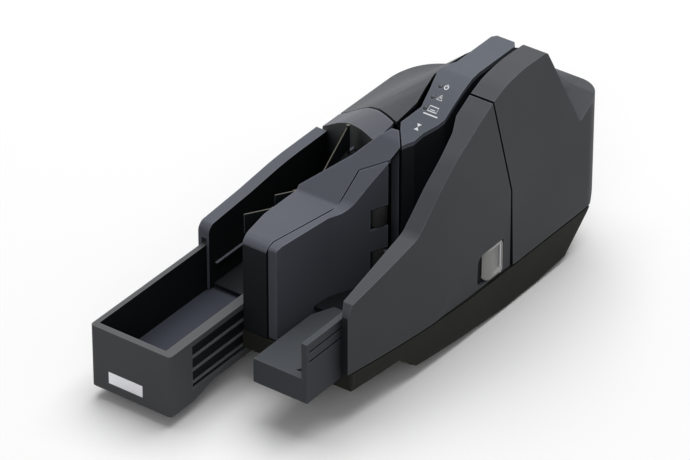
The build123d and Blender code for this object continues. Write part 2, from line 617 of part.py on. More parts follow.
# ---------------------------------------------------------------- feeder extension
extension_rear_y = -60.0
extension = joined(prism([(extension_x0, extension_y), (extension_x1, extension_y), (extension_x1, extension_rear_y),
                          (30.0, extension_rear_y), (extension_x0, -76.0)], 38.0, 40.0),
                   block(extension_x0, extension_x1, extension_y, extension_y + 2.4, 22.0, 39.0),
                   block(extension_x0, extension_x0 + 2, extension_y, -99.5, 22.0, 39.0),
                   block(extension_x1 - 2, extension_x1, extension_y, -99.5, 22.0, 39.0),
                   block(extension_x1 - 4.5, extension_x1, extension_y, -92.0, 38.5, 67.0))
extension = cut(extension, *[block(extension_x1 - 0.8, extension_x1 + 1, extension_y + 3, -95.0, z - 0.8, z + 0.8)
                             for z in (60.0, 52.7)],
                prism([(right(28), -131.0), (right(22), -131.0), (right(22), -122.0)], 30, 45))
save(extension, "feeder_extension")

# ---------------------------------------------------------------- right-hand cover
side_gap = seam / 2 + 0.2
front_seam, back_seam = ([(y + shift, z) for y, z in cover_seam[:2]] for shift in (-side_gap, side_gap))
front_region = side_prism([(-110, 28.6), (case_front_y, base_front_z + seam), (20.0, cover_z),
                           (cover_seam[2][0] - side_gap, cover_z), front_seam[1], front_seam[0],
                           (front_seam[0][0], 200.0), (-110, 200.0)], 0, 90)
cover_plan = [(right(11.5), case_front_y), (band_x, -99.0), (band_x, -36.0), (right(11.6), 2.6), (band_x, 18.0),
              (slot_x, 28.0), (slot_x, 72.0), (right(-10), 72.0), (right(-10), case_front_y)]
cover_core = [(band_x + thin, -101.6), (band_x + thin, -36.3), (right(9.6), 2.6), (band_x + thin, 18.8),
              (slot_x + thin, 28.6), (slot_x + thin, 80.0), (right(-10), 80.0), (right(-10), -101.6)]
crease_line = [(-18.5, 26.5), (0.0, 48.5), (21.5, 64.0), (40.0, 74.0), (65.0, 81.0)]
crease_depth = 1.3  # the side leans in below the crease by this much at its foot
last_y, last_z = crease_line[-1]
with BuildPart() as below_crease:
    for y, z in crease_line:
        with BuildSketch(Plane.XZ.offset(-y)):
            Polygon((half_width + 1, z), (half_width, z), (half_width - crease_depth, base_z),
                    (half_width + 1, base_z), align=None)
    loft(ruled=True)
    with BuildSketch(Plane.XZ.offset(-last_y)):
        Polygon((half_width + 1, last_z), (half_width, last_z), (half_width - crease_depth, base_z),
                (half_width + 1, base_z), align=None)
    extrude(amount=-6.0)
cover_outer = cut(common(right_full, prism(cover_plan, 0, 190), front_region), below_crease.part)
right_cover = cut(cover_outer, common(right_inner, prism(cover_core, 0, 190)))
latch_z0, latch_z1 = 24.3, 48.2
latch_pin_r = 0.8
recess_y0 = 30.2  # front of the finger recess beside the latch


def latch_outline(y0, y1, z0, z1, round_r, x0, x1):
    """A rounded window in the side, for the latch and the finger recess before it."""
    with BuildPart() as body:
        with BuildSketch(Plane.YZ.offset(x0)):
            with Locations(((y0 + y1) / 2, (z0 + z1) / 2)):
                outline = Rectangle(y1 - y0, z1 - z0)
            fillet(outline.vertices().group_by(Axis.X)[0], round_r)
        extrude(amount=x1 - x0)
    return body.part


latch_case = block(right(5.6), half_width, recess_y0 - 1.8, 61.6, cover_z, latch_z1 + 3.0)
hinge_post = common(rod((hinge_x, hinge_y), 3.4, 20.0, 80.0), cover_outer)
pinch_x = drive_at[0] + drive_r + nip + pinch_r
pinch_at = (pinch_x, drive_at[1])
yokes = [common(block(slot_x + 0.5, right(4), 44.0, 52.0, z - 4, z - 1.5), cover_outer) for z in (44.0, 110.0)]
right_cover = joined(right_cover, common(latch_case, cover_outer), hinge_post, *yokes)
right_cover = cut(right_cover, rod((latch_x, latch_y), latch_pin_r, cover_z + 0.6, latch_z1 + 1.6),
                  latch_outline(recess_y0, 59.4, latch_z0 - fit, latch_z1 + fit, 6.0, right(3.9), right(-2.0)),
                  rod((hinge_x, hinge_y), pin_r + bore_fit, 0, 69.0),
                  block(right(21), right(11), drive_at[1] - 7, drive_at[1] + 7, 43.8, 106.2),
                  block(right(22), right(5.8), -20.0, 72.0, 0, path_z + 0.5),
                  rod(pinch_at, 1.0, 41.0, 108.5))
pusher_at, pusher_z0, pusher_z1 = (right(16.4), -50.0), 43.5, 88.0
save(right_cover, "right_cover")
lug_r, pusher_pin_r = 1.4, 0.7
bracket_z0, bracket_z1 = pusher_z0 - 2.5, pusher_z1 + 2.8
bracket = [block(band_x - 1.0, band_x, pusher_at[1] - lug_r, pusher_at[1] + lug_r, bracket_z0, bracket_z1),
           rod(pusher_at, pusher_pin_r, bracket_z0 + 0.5, bracket_z1 - 0.6)]
for z0, z1 in ((bracket_z0, pusher_z0 - fit), (pusher_z1 + fit, bracket_z1)):
    bracket += [block(pusher_at[0], band_x, pusher_at[1] - lug_r, pusher_at[1] + lug_r, z0, z1),
                rod(pusher_at, lug_r, z0, z1)]
save(joined(*bracket), "pusher_bracket")
pusher = joined(block(right(17.4), right(15.6), pusher_at[1] + 0.4, 0.0, pusher_z0, pusher_z1),
                rod(pusher_at, lug_r, pusher_z0, pusher_z1))
save(cut(pusher, rod(pusher_at, pusher_pin_r + bore_fit, 0, 120)), "pusher_plate")
save(rod(pinch_at, 1.0, 41.0, 108.5), "pinch_pin")
save(cut(joined(*[rod(pinch_at, pinch_r, z0, z1) for z0, z1 in bands], rod(pinch_at, 2.6, 44.5, 105.5)),
         rod(pinch_at, 1.0 + bore_fit, 0, 200)), "pinch_roller")

latch_plan = [(right(3.1), 38.4), (right(2.1), 38.6), (right(1.1), 40.0), (right(0.4), 42.2), (half_width, 44.8),
              (half_width, latch_y), (right(3.5), latch_y), (right(3.4), 51.0), (right(2.6), 45.0)]
latch = joined(prism(latch_plan, latch_z0, latch_z1), rod((latch_x, latch_y), 1.78, latch_z0, latch_z1))
latch = common(cut(latch, rod((latch_x, latch_y), latch_pin_r + bore_fit, 0, 60)),
               latch_outline(38.3, 59.2, latch_z0, latch_z1, 4.5, right(10.0), right(-2.0)))
save(latch, "cover_latch")
save(rod((latch_x, latch_y), latch_pin_r, cover_z + 0.6, latch_z1 + 1.6), "latch_pin")

# ---------------------------------------------------------------- right-hand rear cover
rear_region = side_prism([(cover_seam[2][0] + side_gap, cover_z), back_seam[1], back_seam[0],
                          (back_seam[0][0], 200.0), (200, 200.0), (200, cover_z)], 0, 90)
rear_x0, rear_x1 = right(51.2), right(20.0)
roof_front_y = 107.0


def height_at(line, y):
    for (y0, z0), (y1, z1) in zip(line, line[1:]):
        if y0 <= y <= y1:
            return z0 + (z1 - z0) * (y - y0) / (y1 - y0)


blend_y = [roof_front_y] + sorted({y for y, z in crest_line + right_line if y > roof_front_y})
blend_lines = [(y, height_at(crest_line, y), height_at(right_line, y)) for y in blend_y]
blend_full = common(ridge(0.0, rear_x0, rear_x1, blend_lines), plan_full, side_solid(left_side))
blend_inner = common(ridge(wall, rear_x0, rear_x1, blend_lines), plan_inner, side_solid(left_side, wall))
side_plan = [(slot_x, 43.0), (slot_x, roof_front_y), (rear_x1, roof_front_y), (rear_x1, 190.0), (90.0, 190.0),
             (90.0, 43.0)]
side_core = [(slot_x + thin, 43.0), (slot_x + thin, roof_front_y + 2), (rear_x1 - 1, roof_front_y + 2),
             (rear_x1 - 1, 190.0), (90.0, 190.0), (90.0, 43.0)]
rear_outer = joined(common(right_full, prism(side_plan, 0, 190)), blend_full)
rear_outer = common(rear_outer, rear_region)
rear_cover = cut(rear_outer, common(right_inner, prism(side_core, 0, 190)), blend_inner,
                 block(rear_x0 - 1, slot_x, 100, 114, 0, 147.0))
rear_cover = cut(rear_cover, block(slot_x - 1, slot_x + 3, 69.8, 94.2, 39.8, 116.2),
                 block(slot_x - 1, right(5.8), 40.0, 113.0, 0, deck_z),
                 block(slot_x - 1, slot_x + thin + 0.1, column_turn_y, roof_front_y + 2.2, 0, 147.0))
inlet_x, port_x, socket_z = right(38.0), right(22.0), 66.0


def rear_block(x, half_w, z, half_h, y0, y1):
    """A block through the rear wall, or a piece that stands in such an opening."""
    return block(x - half_w, x + half_w, y0, y1, z - half_h, z + half_h)


button_z = socket_z + 16.5
rear_cover = cut(rear_cover, rear_block(inlet_x, 5.0, socket_z, 6.0, rear_y - 6, rear_y + 4),
                 rear_block(port_x, 6.5, socket_z, 5.7, rear_y - 6, rear_y + 4),
                 rear_block(inlet_x, 6.2, button_z, 4.7, rear_y - 6, rear_y + 4))
save(rear_cover, "rear_cover")
save(joined(block(slot_x + 0.7, right(10), 70.0, 94.0, sensor_z0, sensor_z1),
            block(slot_x + thin, right(14), 69.3, 94.4, sensor_z0 - 1.5, sensor_z1 + 1.5)), "outer_sensor")
save(block(slot_x, slot_x + 0.7, 70.0, 94.0, sensor_z0, sensor_z1), "outer_sensor_glass")

io_y = rear_y - 8.0  # the sockets stand on a board behind the rear wall
save(block(right(46), right(12), io_y - 1.6, io_y, 50.0, 92.0), "socket_board")
save(cut(rear_block(inlet_x, 5.0, socket_z, 6.0, io_y, rear_y - 0.4),
         rod_y(inlet_x, socket_z, 3.2, io_y + 0.5, rear_y + 4)), "power_inlet")
save(cut(rear_block(port_x, 6.5, socket_z, 5.7, io_y, rear_y - 0.2),
         rear_block(port_x, 5.2, socket_z, 4.4, io_y + 1.5, rear_y + 4)), "data_socket")
save(rear_block(inlet_x, 5.8, button_z, 4.3, io_y + 1.6, rear_y - 0.1), "power_button")
save(block(left(20), right(94), 84.0, 132.0, board_z, board_z + 1.6), "main_board")

# ---------------------------------------------------------------- left-hand cover
seam_run = seam * hypot(1, seam_slope)  # width of the diagonal seam, front to rear
left_plan = [(roof_seam[0][0] - 5, roof_seam[0][1] + 5 * seam_slope + seam_run),
             (roof_seam[1][0], roof_seam[1][1] + seam_run),
             (right(54.6), 14.2), (right(47.6), 26.2), (right(49.6), 39.0), (right(52.6), 52.0), (panel_x0 - 1.0, 65.0),
             (panel_x0 - 1.0, 106.0), (right(52), 107.0), (right(52), 190.0), (left(-10), 190.0)]
left_region = block(left(-10), right(40), 0, 190, cover_z, 190)
left_outer = common(roof_full, prism(left_plan, 0, 190), left_region)
left_cover = cut(left_outer, roof_inner,
                 block(-half_width - 1, -half_width + wall + 0.1, 80.0, roof_seam[0][1] + 0.4, 0, 190))
barrel = rod_y(left_hinge_x, left_hinge_z, knuckle_r, lugs[0][1] + fit, lugs[1][0] - fit)
left_cover = joined(left_cover, barrel, block(-half_width, left(4.4), lugs[0][1] + fit, lugs[1][0] - fit,
                                              left_hinge_z, 27.0))
left_cover = cut(left_cover, rod_y(left_hinge_x, left_hinge_z, pin_r + bore_fit, lugs[0][0], lugs[1][1]),
                 *[rod_y(left_hinge_x, left_hinge_z, knuckle_r + fit, y0 - fit, y1 + fit) for y0, y1 in lugs],
                 *[block(-half_width - 1, left(5), y0 - fit, y1 + fit, 20.0, left_hinge_z + 0.3) for y0, y1 in lugs])
save(left_cover, "left_cover")

guide_line = [(right(54.4), 14.8), (right(47.6), 26.2), (right(49.6), 39.0), (right(52.6), 52.0),
              (right(50.6), 64.4), (right(50.6), 93.0)]
guide_back = [(right(52.6), 93.0), (right(52.6), 64.6), (right(54.7), 52.0), (right(51.6), 38.8),
              (right(49.7), 26.6), (right(55.8), 16.2)]
path_guide = prism(guide_line + guide_back, path_z - path_t, 138.0)
exit_nip = exit_r + nip + exit_pinch_r
exit_pinch_at = (exit_at[0] - 0.873 * exit_nip, exit_at[1] + 0.489 * exit_nip)
yoke = [block(right(60), right(51.4), exit_pinch_at[1] - 3, exit_pinch_at[1] + 3, z, z + 2.5) for z in (41.0, 107.0)]
yoke = [joined(y, rod(exit_pinch_at, 2.6, z, z + 2.5)) for y, z in zip(yoke, (41.0, 107.0))]
path_guide = cut(path_guide, block(right(60), right(44), 40.0, 200, path_z - path_t - 1, path_z + 0.2))
pinch_window = block(right(60), right(44), exit_pinch_at[1] - 6.5, exit_pinch_at[1] + 6.5, 44.8, 105.2)
path_guide = joined(cut(path_guide, pinch_window), *yoke,
                    block(right(60), right(55), exit_pinch_at[1] - 3, exit_pinch_at[1] + 3, 41.0, 109.5))
path_guide = cut(path_guide, rod(exit_pinch_at, 1.0, 40, 120))
save(path_guide, "path_guide")
save(rod(exit_pinch_at, 0.98, 41.2, 109.2), "exit_pinch_pin")
save(cut(joined(*[rod(exit_pinch_at, exit_pinch_r, z0, z1) for z0, z1 in bands],
                rod(exit_pinch_at, 2.2, 45.5, 104.5)), rod(exit_pinch_at, 1.0 + bore_fit, 0, 200)), "exit_pinch_roller")

save(cut(block(right(68), right(52.6), 68.0, 90.0, 52.0, 92.0), block(right(66), right(54.6), 70.0, 88.0, 54.0, 100.0)),
     "cartridge_holder")
save(joined(block(right(65.8), right(54.8), 70.2, 87.8, 54.2, 96.0),
            block(right(64.5), right(56), 72.0, 86.0, 96.0, 99.0)), "ink_cartridge")

# ---------------------------------------------------------------- sprung leaves in the pocket and feeder
leaf_t = 0.8
rear_leaf = joined(side_prism([(-10.0, 90.5), (22.0, 115.6), (23.0, 98.0)], leaf_at[0] - leaf_t / 2,
                              leaf_at[0] + leaf_t / 2), rod(leaf_at, 1.2, 97.0, 117.0))
save(cut(rear_leaf, rod(leaf_at, leaf_pin_r + bore_fit, 90, 112.2)), "rear_leaf")


def leaf(x, y, length, low, high, tip):
    """A small triangular leaf on an upright barrel, pointing forwards and to the left."""
    dx, dy = -0.53 * length, -0.85 * length
    plan = [(x, y), (x + dx, y + dy), (x + dx + 0.7, y + dy - 0.45), (x + 0.7, y - 0.45)]
    below = side_prism([(y + dy - 2, low - 2), (y + 2, low - 2), (y + 2, high - 2), (y + dy - 2, low + tip)],
                       left(10), right(10))
    face = cut(prism(plan, low, high), below)
    return cut(joined(face, rod((x, y), 1.0, high - 5.0, high)), rod((x, y), leaf_pin_r + bore_fit, low, high - 0.2))


save(leaf(*leaves[0][:2], 20.0, 78.0, leaves[0][2] + 5.0, 2.0), "front_leaf")
save(leaf(*leaves[1][:2], 14.0, 84.0, leaves[1][2] + 5.0, 2.0), "middle_leaf")
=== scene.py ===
import json
import math
import random
import bmesh
import bpy
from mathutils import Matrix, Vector

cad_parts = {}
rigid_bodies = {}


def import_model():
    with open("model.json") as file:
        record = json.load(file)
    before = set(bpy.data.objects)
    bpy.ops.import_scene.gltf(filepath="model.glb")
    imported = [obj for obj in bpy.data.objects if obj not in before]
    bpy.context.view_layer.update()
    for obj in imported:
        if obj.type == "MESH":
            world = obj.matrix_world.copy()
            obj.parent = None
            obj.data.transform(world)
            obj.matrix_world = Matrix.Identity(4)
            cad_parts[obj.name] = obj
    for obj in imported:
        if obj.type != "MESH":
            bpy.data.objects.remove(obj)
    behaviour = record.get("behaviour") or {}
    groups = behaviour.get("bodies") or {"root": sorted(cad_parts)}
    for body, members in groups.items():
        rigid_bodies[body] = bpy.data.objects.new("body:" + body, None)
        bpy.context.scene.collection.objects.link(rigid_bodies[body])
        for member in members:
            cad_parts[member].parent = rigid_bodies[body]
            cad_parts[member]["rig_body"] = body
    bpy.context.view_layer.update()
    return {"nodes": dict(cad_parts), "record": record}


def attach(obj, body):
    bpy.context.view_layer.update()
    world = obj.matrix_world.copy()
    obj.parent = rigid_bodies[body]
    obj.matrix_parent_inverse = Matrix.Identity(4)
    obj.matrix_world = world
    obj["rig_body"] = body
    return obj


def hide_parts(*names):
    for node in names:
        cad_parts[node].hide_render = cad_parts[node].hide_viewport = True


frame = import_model()
nodes = frame["nodes"]
mm = 0.001
soleHeight = 8.1  # the tray's sole above the table; heights below are counted from it
slotOf = {part["node"]: part["material_slot"] for part in frame["record"]["subparts"]}
print("frame loaded:", len(nodes), "solids")


def at(x, y, z):
    return Vector((x, y, z + soleHeight)) * mm


# shader maths: a wrapped socket that can be added, taken away and multiplied
class Wire:
    def __init__(self, shader, socket):
        self.shader = shader
        self.socket = socket

    def maths(self, operation, other, flip=False):
        first, second = (other, self) if flip else (self, other)
        return self.shader.node("ShaderNodeMath", {"operation": operation}, {0: first, 1: second})

    def __add__(self, other):
        return self.maths("ADD", other)

    def __radd__(self, other):
        return self.maths("ADD", other, True)

    def __sub__(self, other):
        return self.maths("SUBTRACT", other)

    def __rsub__(self, other):
        return self.maths("SUBTRACT", other, True)

    def __mul__(self, other):
        return self.maths("MULTIPLY", other)

    def __rmul__(self, other):
        return self.maths("MULTIPLY", other, True)


# the nodes of one material, or of the world
class Shader:
    def __init__(self, owner, ending="ShaderNodeOutputMaterial"):
        owner.use_nodes = True
        self.owner = owner
        self.tree = owner.node_tree
        self.tree.nodes.clear()
        self.ending = self.tree.nodes.new(ending)

    def node(self, kind, settings=None, inputs=None, output=0):
        made = self.tree.nodes.new(kind)
        for key, value in (settings or {}).items():
            if key == "stops":
                for element, (place, shade) in zip(made.color_ramp.elements, value):
                    element.position = place
                    element.color = (shade, shade, shade, 1)
            else:
                setattr(made, key, value)
        for key, value in (inputs or {}).items():
            if isinstance(value, Wire):
                self.tree.links.new(value.socket, made.inputs[key])
            else:
                made.inputs[key].default_value = value
        return Wire(self, made.outputs[output])

    @property
    def place(self):
        return self.node("ShaderNodeTexCoord", output="Object")

    def noise(self, scale, detail=2.0, roughness=0.5, stretch=None):
        place = self.place
        if stretch:
            place = self.node("ShaderNodeVectorMath", {"operation": "MULTIPLY"}, {0: place, 1: stretch})
        return self.node("ShaderNodeTexNoise", {}, {"Vector": place, "Scale": scale, "Detail": detail,
                                                    "Roughness": roughness})

    def ramp(self, value, *stops):
        return self.node("ShaderNodeValToRGB", {"stops": stops}, {0: value})

    def blend(self, mask, first, second):
        # Mix's colour sockets go by number, because its other sockets have the same names
        return self.node("ShaderNodeMix", {"data_type": "RGBA"}, {0: mask, 6: first, 7: second}, 2)

    def bump(self, height, strength, depth):
        return self.node("ShaderNodeBump", {}, {"Strength": strength, "Distance": depth, "Height": height})

    def edgeWearHighlightMask(self, radius):
        # 1 along the edges of a moulding, 0 on its flats: where the edges are painted paler, partly as rubbing and
        # partly as a painted highlight
        rounded = self.node("ShaderNodeBevel", {"samples": 4}, {"Radius": radius})
        facing = self.node("ShaderNodeNewGeometry", output="Normal")
        turn = self.node("ShaderNodeVectorMath", {"operation": "DOT_PRODUCT"}, {0: rounded, 1: facing}, "Value")
        return self.ramp(1 - turn, (0.02, 0.0), (0.22, 1.0))

    def close(self, surface):
        self.tree.links.new(surface.socket, self.ending.inputs["Surface"])
        return self.owner

    def finish(self, **sockets):
        return self.close(self.node("ShaderNodeBsdfPrincipled", {}, sockets))


def newFinish(name):
    return Shader(bpy.data.materials.new(name))


def linear(red, green, blue):
    # a shade as it is read off a screen, 0 to 255
    return tuple(pow(c / 255, 2.2) for c in (red, green, blue)) + (1.0,)


def lighter(colour, factor):
    return tuple(min(1.0, c * factor) for c in colour[:3]) + (1.0,)


plasticLook = {"mottleScale": 38.0, "smearScale": 11.0, "wearHighlightNoiseScale": 160.0, "wearHighlightRadius": 0.0016,
               "poreDepth": 0.00012, "specular": 0.14}


def mouldedPlastic(name, colour, rough=0.42, grain=0.35, wearAndHighlightAmount=0.8, scale=2400.0, dust=0.06):
    # spark-eroded moulding: fine pores, a faint mottle, wiped dust, and edges painted paler, partly as rubbing and
    # partly as a painted highlight along them
    s = newFinish(name)
    look = plasticLook
    mottle = s.noise(look["mottleScale"], detail=4.0)
    smear = s.ramp(s.noise(look["smearScale"], detail=5.0, roughness=0.62), (0.35, 0.0), (0.7, 1.0))
    pores = s.noise(scale, roughness=0.6)
    edge = s.edgeWearHighlightMask(look["wearHighlightRadius"]) * s.ramp(s.noise(look["wearHighlightNoiseScale"], detail=3.0), (0.3, 0.5), (0.7, 1.0))
    base = s.blend(mottle, lighter(colour, 0.94), lighter(colour, 1.06))
    base = s.blend(smear * dust, base, lighter(colour, 1.6))
    # edges 2.1 times paler: partly rubbed plastic, partly a painted highlight along the edges
    base = s.blend(edge * wearAndHighlightAmount, base, lighter(colour, 2.1))
    return s.finish(**{"Base Color": base, "Roughness": rough + pores * 0.10 + smear * 0.08 - edge * 0.12,
                       "Normal": s.bump(pores + mottle * 0.3, strength=grain, depth=look["poreDepth"]),
                       "Specular IOR Level": look["specular"]})


def glossPlastic(name, colour, rough=0.2):
    s = newFinish(name)
    smear = s.noise(30.0, detail=4.0, roughness=0.6)
    base = s.blend(s.noise(70.0, detail=3.0), lighter(colour, 0.95), lighter(colour, 1.05))
    return s.finish(**{"Base Color": base, "Roughness": rough + smear * 0.12,
                       "Normal": s.bump(smear, strength=0.05, depth=0.0002)})


def rubberFinish(name, colour):
    s = newFinish(name)
    pores = s.noise(3200.0, detail=3.0, roughness=0.7)
    chalk = s.ramp(s.noise(90.0, detail=5.0), (0.4, 0.0), (0.75, 1.0))
    base = s.blend(chalk * 0.35, colour, lighter(colour, 2.4))
    return s.finish(**{"Base Color": base, "Roughness": 0.72 + pores * 0.15,
                       "Normal": s.bump(pores, strength=0.5, depth=0.0001)})


def metalFinish(name, colour, rough, along=(1.0, 1.0, 1.0), lines=0.35):
    # the grain is drawn out along the axis whose factor is small
    s = newFinish(name)
    drawn = s.noise(900.0, detail=3.0, roughness=0.6, stretch=along)
    stain = s.noise(45.0, detail=4.0)
    base = s.blend(stain, lighter(colour, 0.9), lighter(colour, 1.05))
    return s.finish(**{"Base Color": base, "Metallic": 1.0, "Roughness": rough + drawn * 0.16 + stain * 0.06,
                       "Normal": s.bump(drawn, strength=lines, depth=0.00005)})


def glassFinish(name, colour):
    s = newFinish(name)
    streak = s.noise(120.0, detail=3.0, stretch=(1.0, 1.0, 0.2))
    base = s.blend(streak, colour, lighter(colour, 1.4))
    return s.finish(**{"Base Color": base, "Roughness": 0.04 + streak * 0.05, "Coat Weight": 0.8, "Alpha": 0.92})


def boardFinish(name):
    # woven laminate with slanting tracks under its lacquer
    s = newFinish(name)
    weave = s.node("ShaderNodeTexBrick", {"offset": 0.5}, {"Vector": s.place, "Scale": 480.0,
                   "Color1": linear(16, 92, 48), "Color2": linear(20, 104, 56), "Mortar": linear(70, 120, 70),
                   "Mortar Size": 0.06})
    bands = s.node("ShaderNodeTexWave", {"wave_type": "BANDS", "bands_direction": "DIAGONAL"},
                   {"Vector": s.place, "Scale": 160.0, "Distortion": 6.0, "Detail": 1.0})
    tracks = s.ramp(bands, (0.62, 0.0), (0.66, 1.0))
    base = s.blend(tracks * 0.55, weave, linear(60, 150, 84))
    return s.finish(**{"Base Color": base, "Roughness": 0.32 + tracks * 0.12,
                       "Normal": s.bump(tracks, strength=0.3, depth=0.00006)})


coverGrey = mouldedPlastic("satinGreyCover", linear(88, 91, 99))
sideGrey = mouldedPlastic("satinGreySide", linear(76, 78, 81))
roofGrey = mouldedPlastic("satinGreyRoof", linear(74, 76, 80), rough=0.46)
panelGrey = mouldedPlastic("paleGreyPanel", linear(91, 95, 103), rough=0.36, grain=0.2)
trayGrey = mouldedPlastic("darkGreyTray", linear(91, 92, 94), rough=0.5, grain=0.5)
trayFloorGrey = mouldedPlastic("slateTrayFloor", linear(64, 67, 76), rough=0.5, wearAndHighlightAmount=0.2)
feederGrey = mouldedPlastic("darkGreyFeeder", linear(72, 75, 79), rough=0.46)
baseOlive = mouldedPlastic("matBaseMoulding", linear(43, 44, 40), rough=0.56, grain=0.6, scale=1500.0, wearAndHighlightAmount=0.3)
innerBlack = mouldedPlastic("matBlackGuide", linear(30, 33, 35), rough=0.5, wearAndHighlightAmount=0.3)
# near-black for faces inside pockets, slots, recesses and seams: painted shade
paintedShadeBlack = mouldedPlastic("paintedShadePocketLining", linear(20, 23, 24), rough=0.6, wearAndHighlightAmount=0.2, dust=0.03)
# pale paint for the leaves' upward faces: a painted highlight along their top edges
paintedLeafHighlight = mouldedPlastic("paintedLeafEdgeHighlight", linear(100, 97, 90), rough=0.4, grain=0.1, wearAndHighlightAmount=0.2)
latchGrey = mouldedPlastic("paleLatchMoulding", linear(186, 186, 184), rough=0.36, grain=0.2, wearAndHighlightAmount=0.15)
rollerRubber = rubberFinish("rollerRubber", linear(42, 42, 43))
beltRubber = rubberFinish("toothedBeltRubber", linear(34, 34, 34))
footRubber = rubberFinish("footRubber", linear(30, 30, 30))
groundSteel = metalFinish("groundSteel", linear(190, 190, 194), 0.22, along=(1.0, 1.0, 0.05))
zincSheet = metalFinish("zincSheet", linear(176, 180, 186), 0.34, along=(0.05, 1.0, 1.0))
bronzeBush = metalFinish("sinteredBronze", linear(176, 138, 84), 0.42)
bareLabel = metalFinish("bareSatinLabel", linear(226, 226, 230), 0.3, along=(0.04, 1.0, 1.0), lines=0.2)
contactGold = metalFinish("contactGold", linear(212, 178, 104), 0.26)
smokedLens = glossPlastic("smokedLens", linear(58, 60, 64), 0.1)
gearNylon = glossPlastic("gearNylon", linear(226, 222, 208), 0.34)
capSleeve = glossPlastic("capacitorSleeve", linear(38, 46, 74), 0.3)
sensorGlass = glassFinish("sensorGlass", linear(26, 30, 34))
boardGreen = boardFinish("boardLaminate")
markWhite = mouldedPlastic("printedMarkWhite", linear(232, 234, 236), rough=0.5, grain=0.1, wearAndHighlightAmount=0.0, dust=0.02)
print("materials made")

finishes = {
    baseOlive: ["base_case"],
    footRubber: ["rubber_feet"],
    groundSteel: ["plate_screws", "motor_body", "magnetic_head", "data_socket", "left_hinge_pin", "right_hinge_pin",
                  "pinch_pin", "latch_pin", "exit_pinch_pin", "drive_gear_shaft", "pick_shaft", "drive_shaft",
                  "rear_shaft", "exit_shaft"],
    zincSheet: ["mechanism_plate"],
    bronzeBush: ["shaft_bushes"],
    beltRubber: ["drive_belt"],
    panelGrey: ["indicator_panel"],
    smokedLens: ["indicator_lenses"],
    sensorGlass: ["inner_sensor_glass", "outer_sensor_glass"],
    coverGrey: ["divider_cover", "feeder_guide", "pocket_wall"],
    sideGrey: ["right_cover", "rear_cover"],
    roofGrey: ["left_cover"],
    boardGreen: ["socket_board", "main_board"],
    trayGrey: ["pocket_tray"],
    bareLabel: ["label_plate"],
    feederGrey: ["feeder_extension"],
    latchGrey: ["cover_latch"],
    gearNylon: ["drive_gear", "motor_pinion"],
    rollerRubber: ["pinch_roller", "exit_pinch_roller", "pick_roller", "drive_roller", "rear_roller", "exit_roller"],
    innerBlack: ["column_body", "inner_sensor", "feeder_floor", "slot_floor", "turn_guide", "pocket_floor",
                 "outer_sensor", "power_inlet", "pusher_bracket", "pusher_plate", "path_guide", "cartridge_holder",
                 "ink_cartridge", "rear_leaf", "front_leaf", "middle_leaf", "power_button"],
}
for finish, names in finishes.items():
    for name in names:
        places = nodes[name].material_slots
        for place in places:
            place.material = finish
        if not places:
            nodes[name].data.materials.append(finish)


def setOut(name, mesh, body, stands=()):
    # a finished mesh becomes a piece that rides on its body
    piece = bpy.data.objects.new(name, mesh)
    bpy.context.scene.collection.objects.link(piece)
    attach(piece, body)
    if stands:
        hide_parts(*stands)
    return piece


def shadeByAngle(work, angle):
    for face in work.faces:
        face.smooth = True
    for edge in work.edges:
        edge.smooth = len(edge.link_faces) == 2 and edge.calc_face_angle(0.0) < math.radians(angle)


foldLook = {
    "shortest": 4.0, "across": 0.9, "sideways": 0.3, "downwards": -0.1,  # which edges count as folds
    "turn": (2.5, 60.0), "segments": 6, "share": 0.45,  # degrees, and how much of a neighbour may go
}


def easeKinks(work, reach, firstY):
    # rounds the folds that run across the upper side of a moulding, one after the other
    look = foldLook
    least, most = look["turn"]
    folds = []
    for edge in work.edges:
        if len(edge.link_faces) != 2 or edge.calc_length() < look["shortest"] * mm:
            continue
        across = abs((edge.verts[1].co - edge.verts[0].co).normalized().x) > look["across"]
        outside = all(abs(face.normal.x) < look["sideways"] and face.normal.z > look["downwards"]
                      for face in edge.link_faces)
        behind = edge.verts[0].co.y > firstY * mm
        if across and outside and behind and least < math.degrees(edge.calc_face_angle(0.0)) < most:
            folds.append(edge)
    for fold in folds:
        if fold.is_valid:
            beside = [near.calc_length() for vert in fold.verts for near in vert.link_edges if near is not fold]
            bmesh.ops.bevel(work, geom=[fold], offset=min(reach * mm, look["share"] * min(beside)),
                            segments=look["segments"], profile=0.5, affect="EDGES", clamp_overlap=False)


# covers and shells: the solids again with rounded moulded edges, and faces painted by region: painted shade in black
# inside the pockets, slots, recesses and seams, some front faces near-black, the tray floor in its slate colour, and
# a painted highlight on the leaves
shellLook = {"merge": 2e-6, "flat": 0.4, "facing": 0.72, "sharp": 24.0, "segments": 3}


def softened(node, width, nodePaintedShadeAndHighlight, ease):
    look = shellLook
    mesh = nodes[node].data.copy()
    work = bmesh.new()
    work.from_mesh(mesh)
    bmesh.ops.remove_doubles(work, verts=work.verts, dist=look["merge"])
    bmesh.ops.dissolve_limit(work, angle_limit=math.radians(look["flat"]), verts=work.verts, edges=work.edges)
    if ease:
        easeKinks(work, *ease)
    shadeByAngle(work, look["sharp"])
    for index, (finish, low, high, facing) in enumerate(nodePaintedShadeAndHighlight):
        mesh.materials.append(finish)
        lowest, highest = at(*low), at(*high)
        for face in work.faces:
            inside = all(a <= c <= b for a, c, b in zip(lowest, face.calc_center_median(), highest))
            if inside and face.normal.dot(Vector(facing)) > look["facing"]:
                face.material_index = index + 1
    work.to_mesh(mesh)
    work.free()
    piece = setOut(node + "Moulding", mesh, nodes[node]["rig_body"], [node])
    edge = piece.modifiers.new("roundedEdges", "BEVEL")
    edge.width = width * mm
    edge.segments = look["segments"]
    edge.limit_method = "ANGLE"
    edge.angle_limit = math.radians(look["sharp"])
    edge.use_clamp_overlap = True
    shading = piece.modifiers.new("evenShading", "WEIGHTED_NORMAL")
    shading.keep_sharp = True
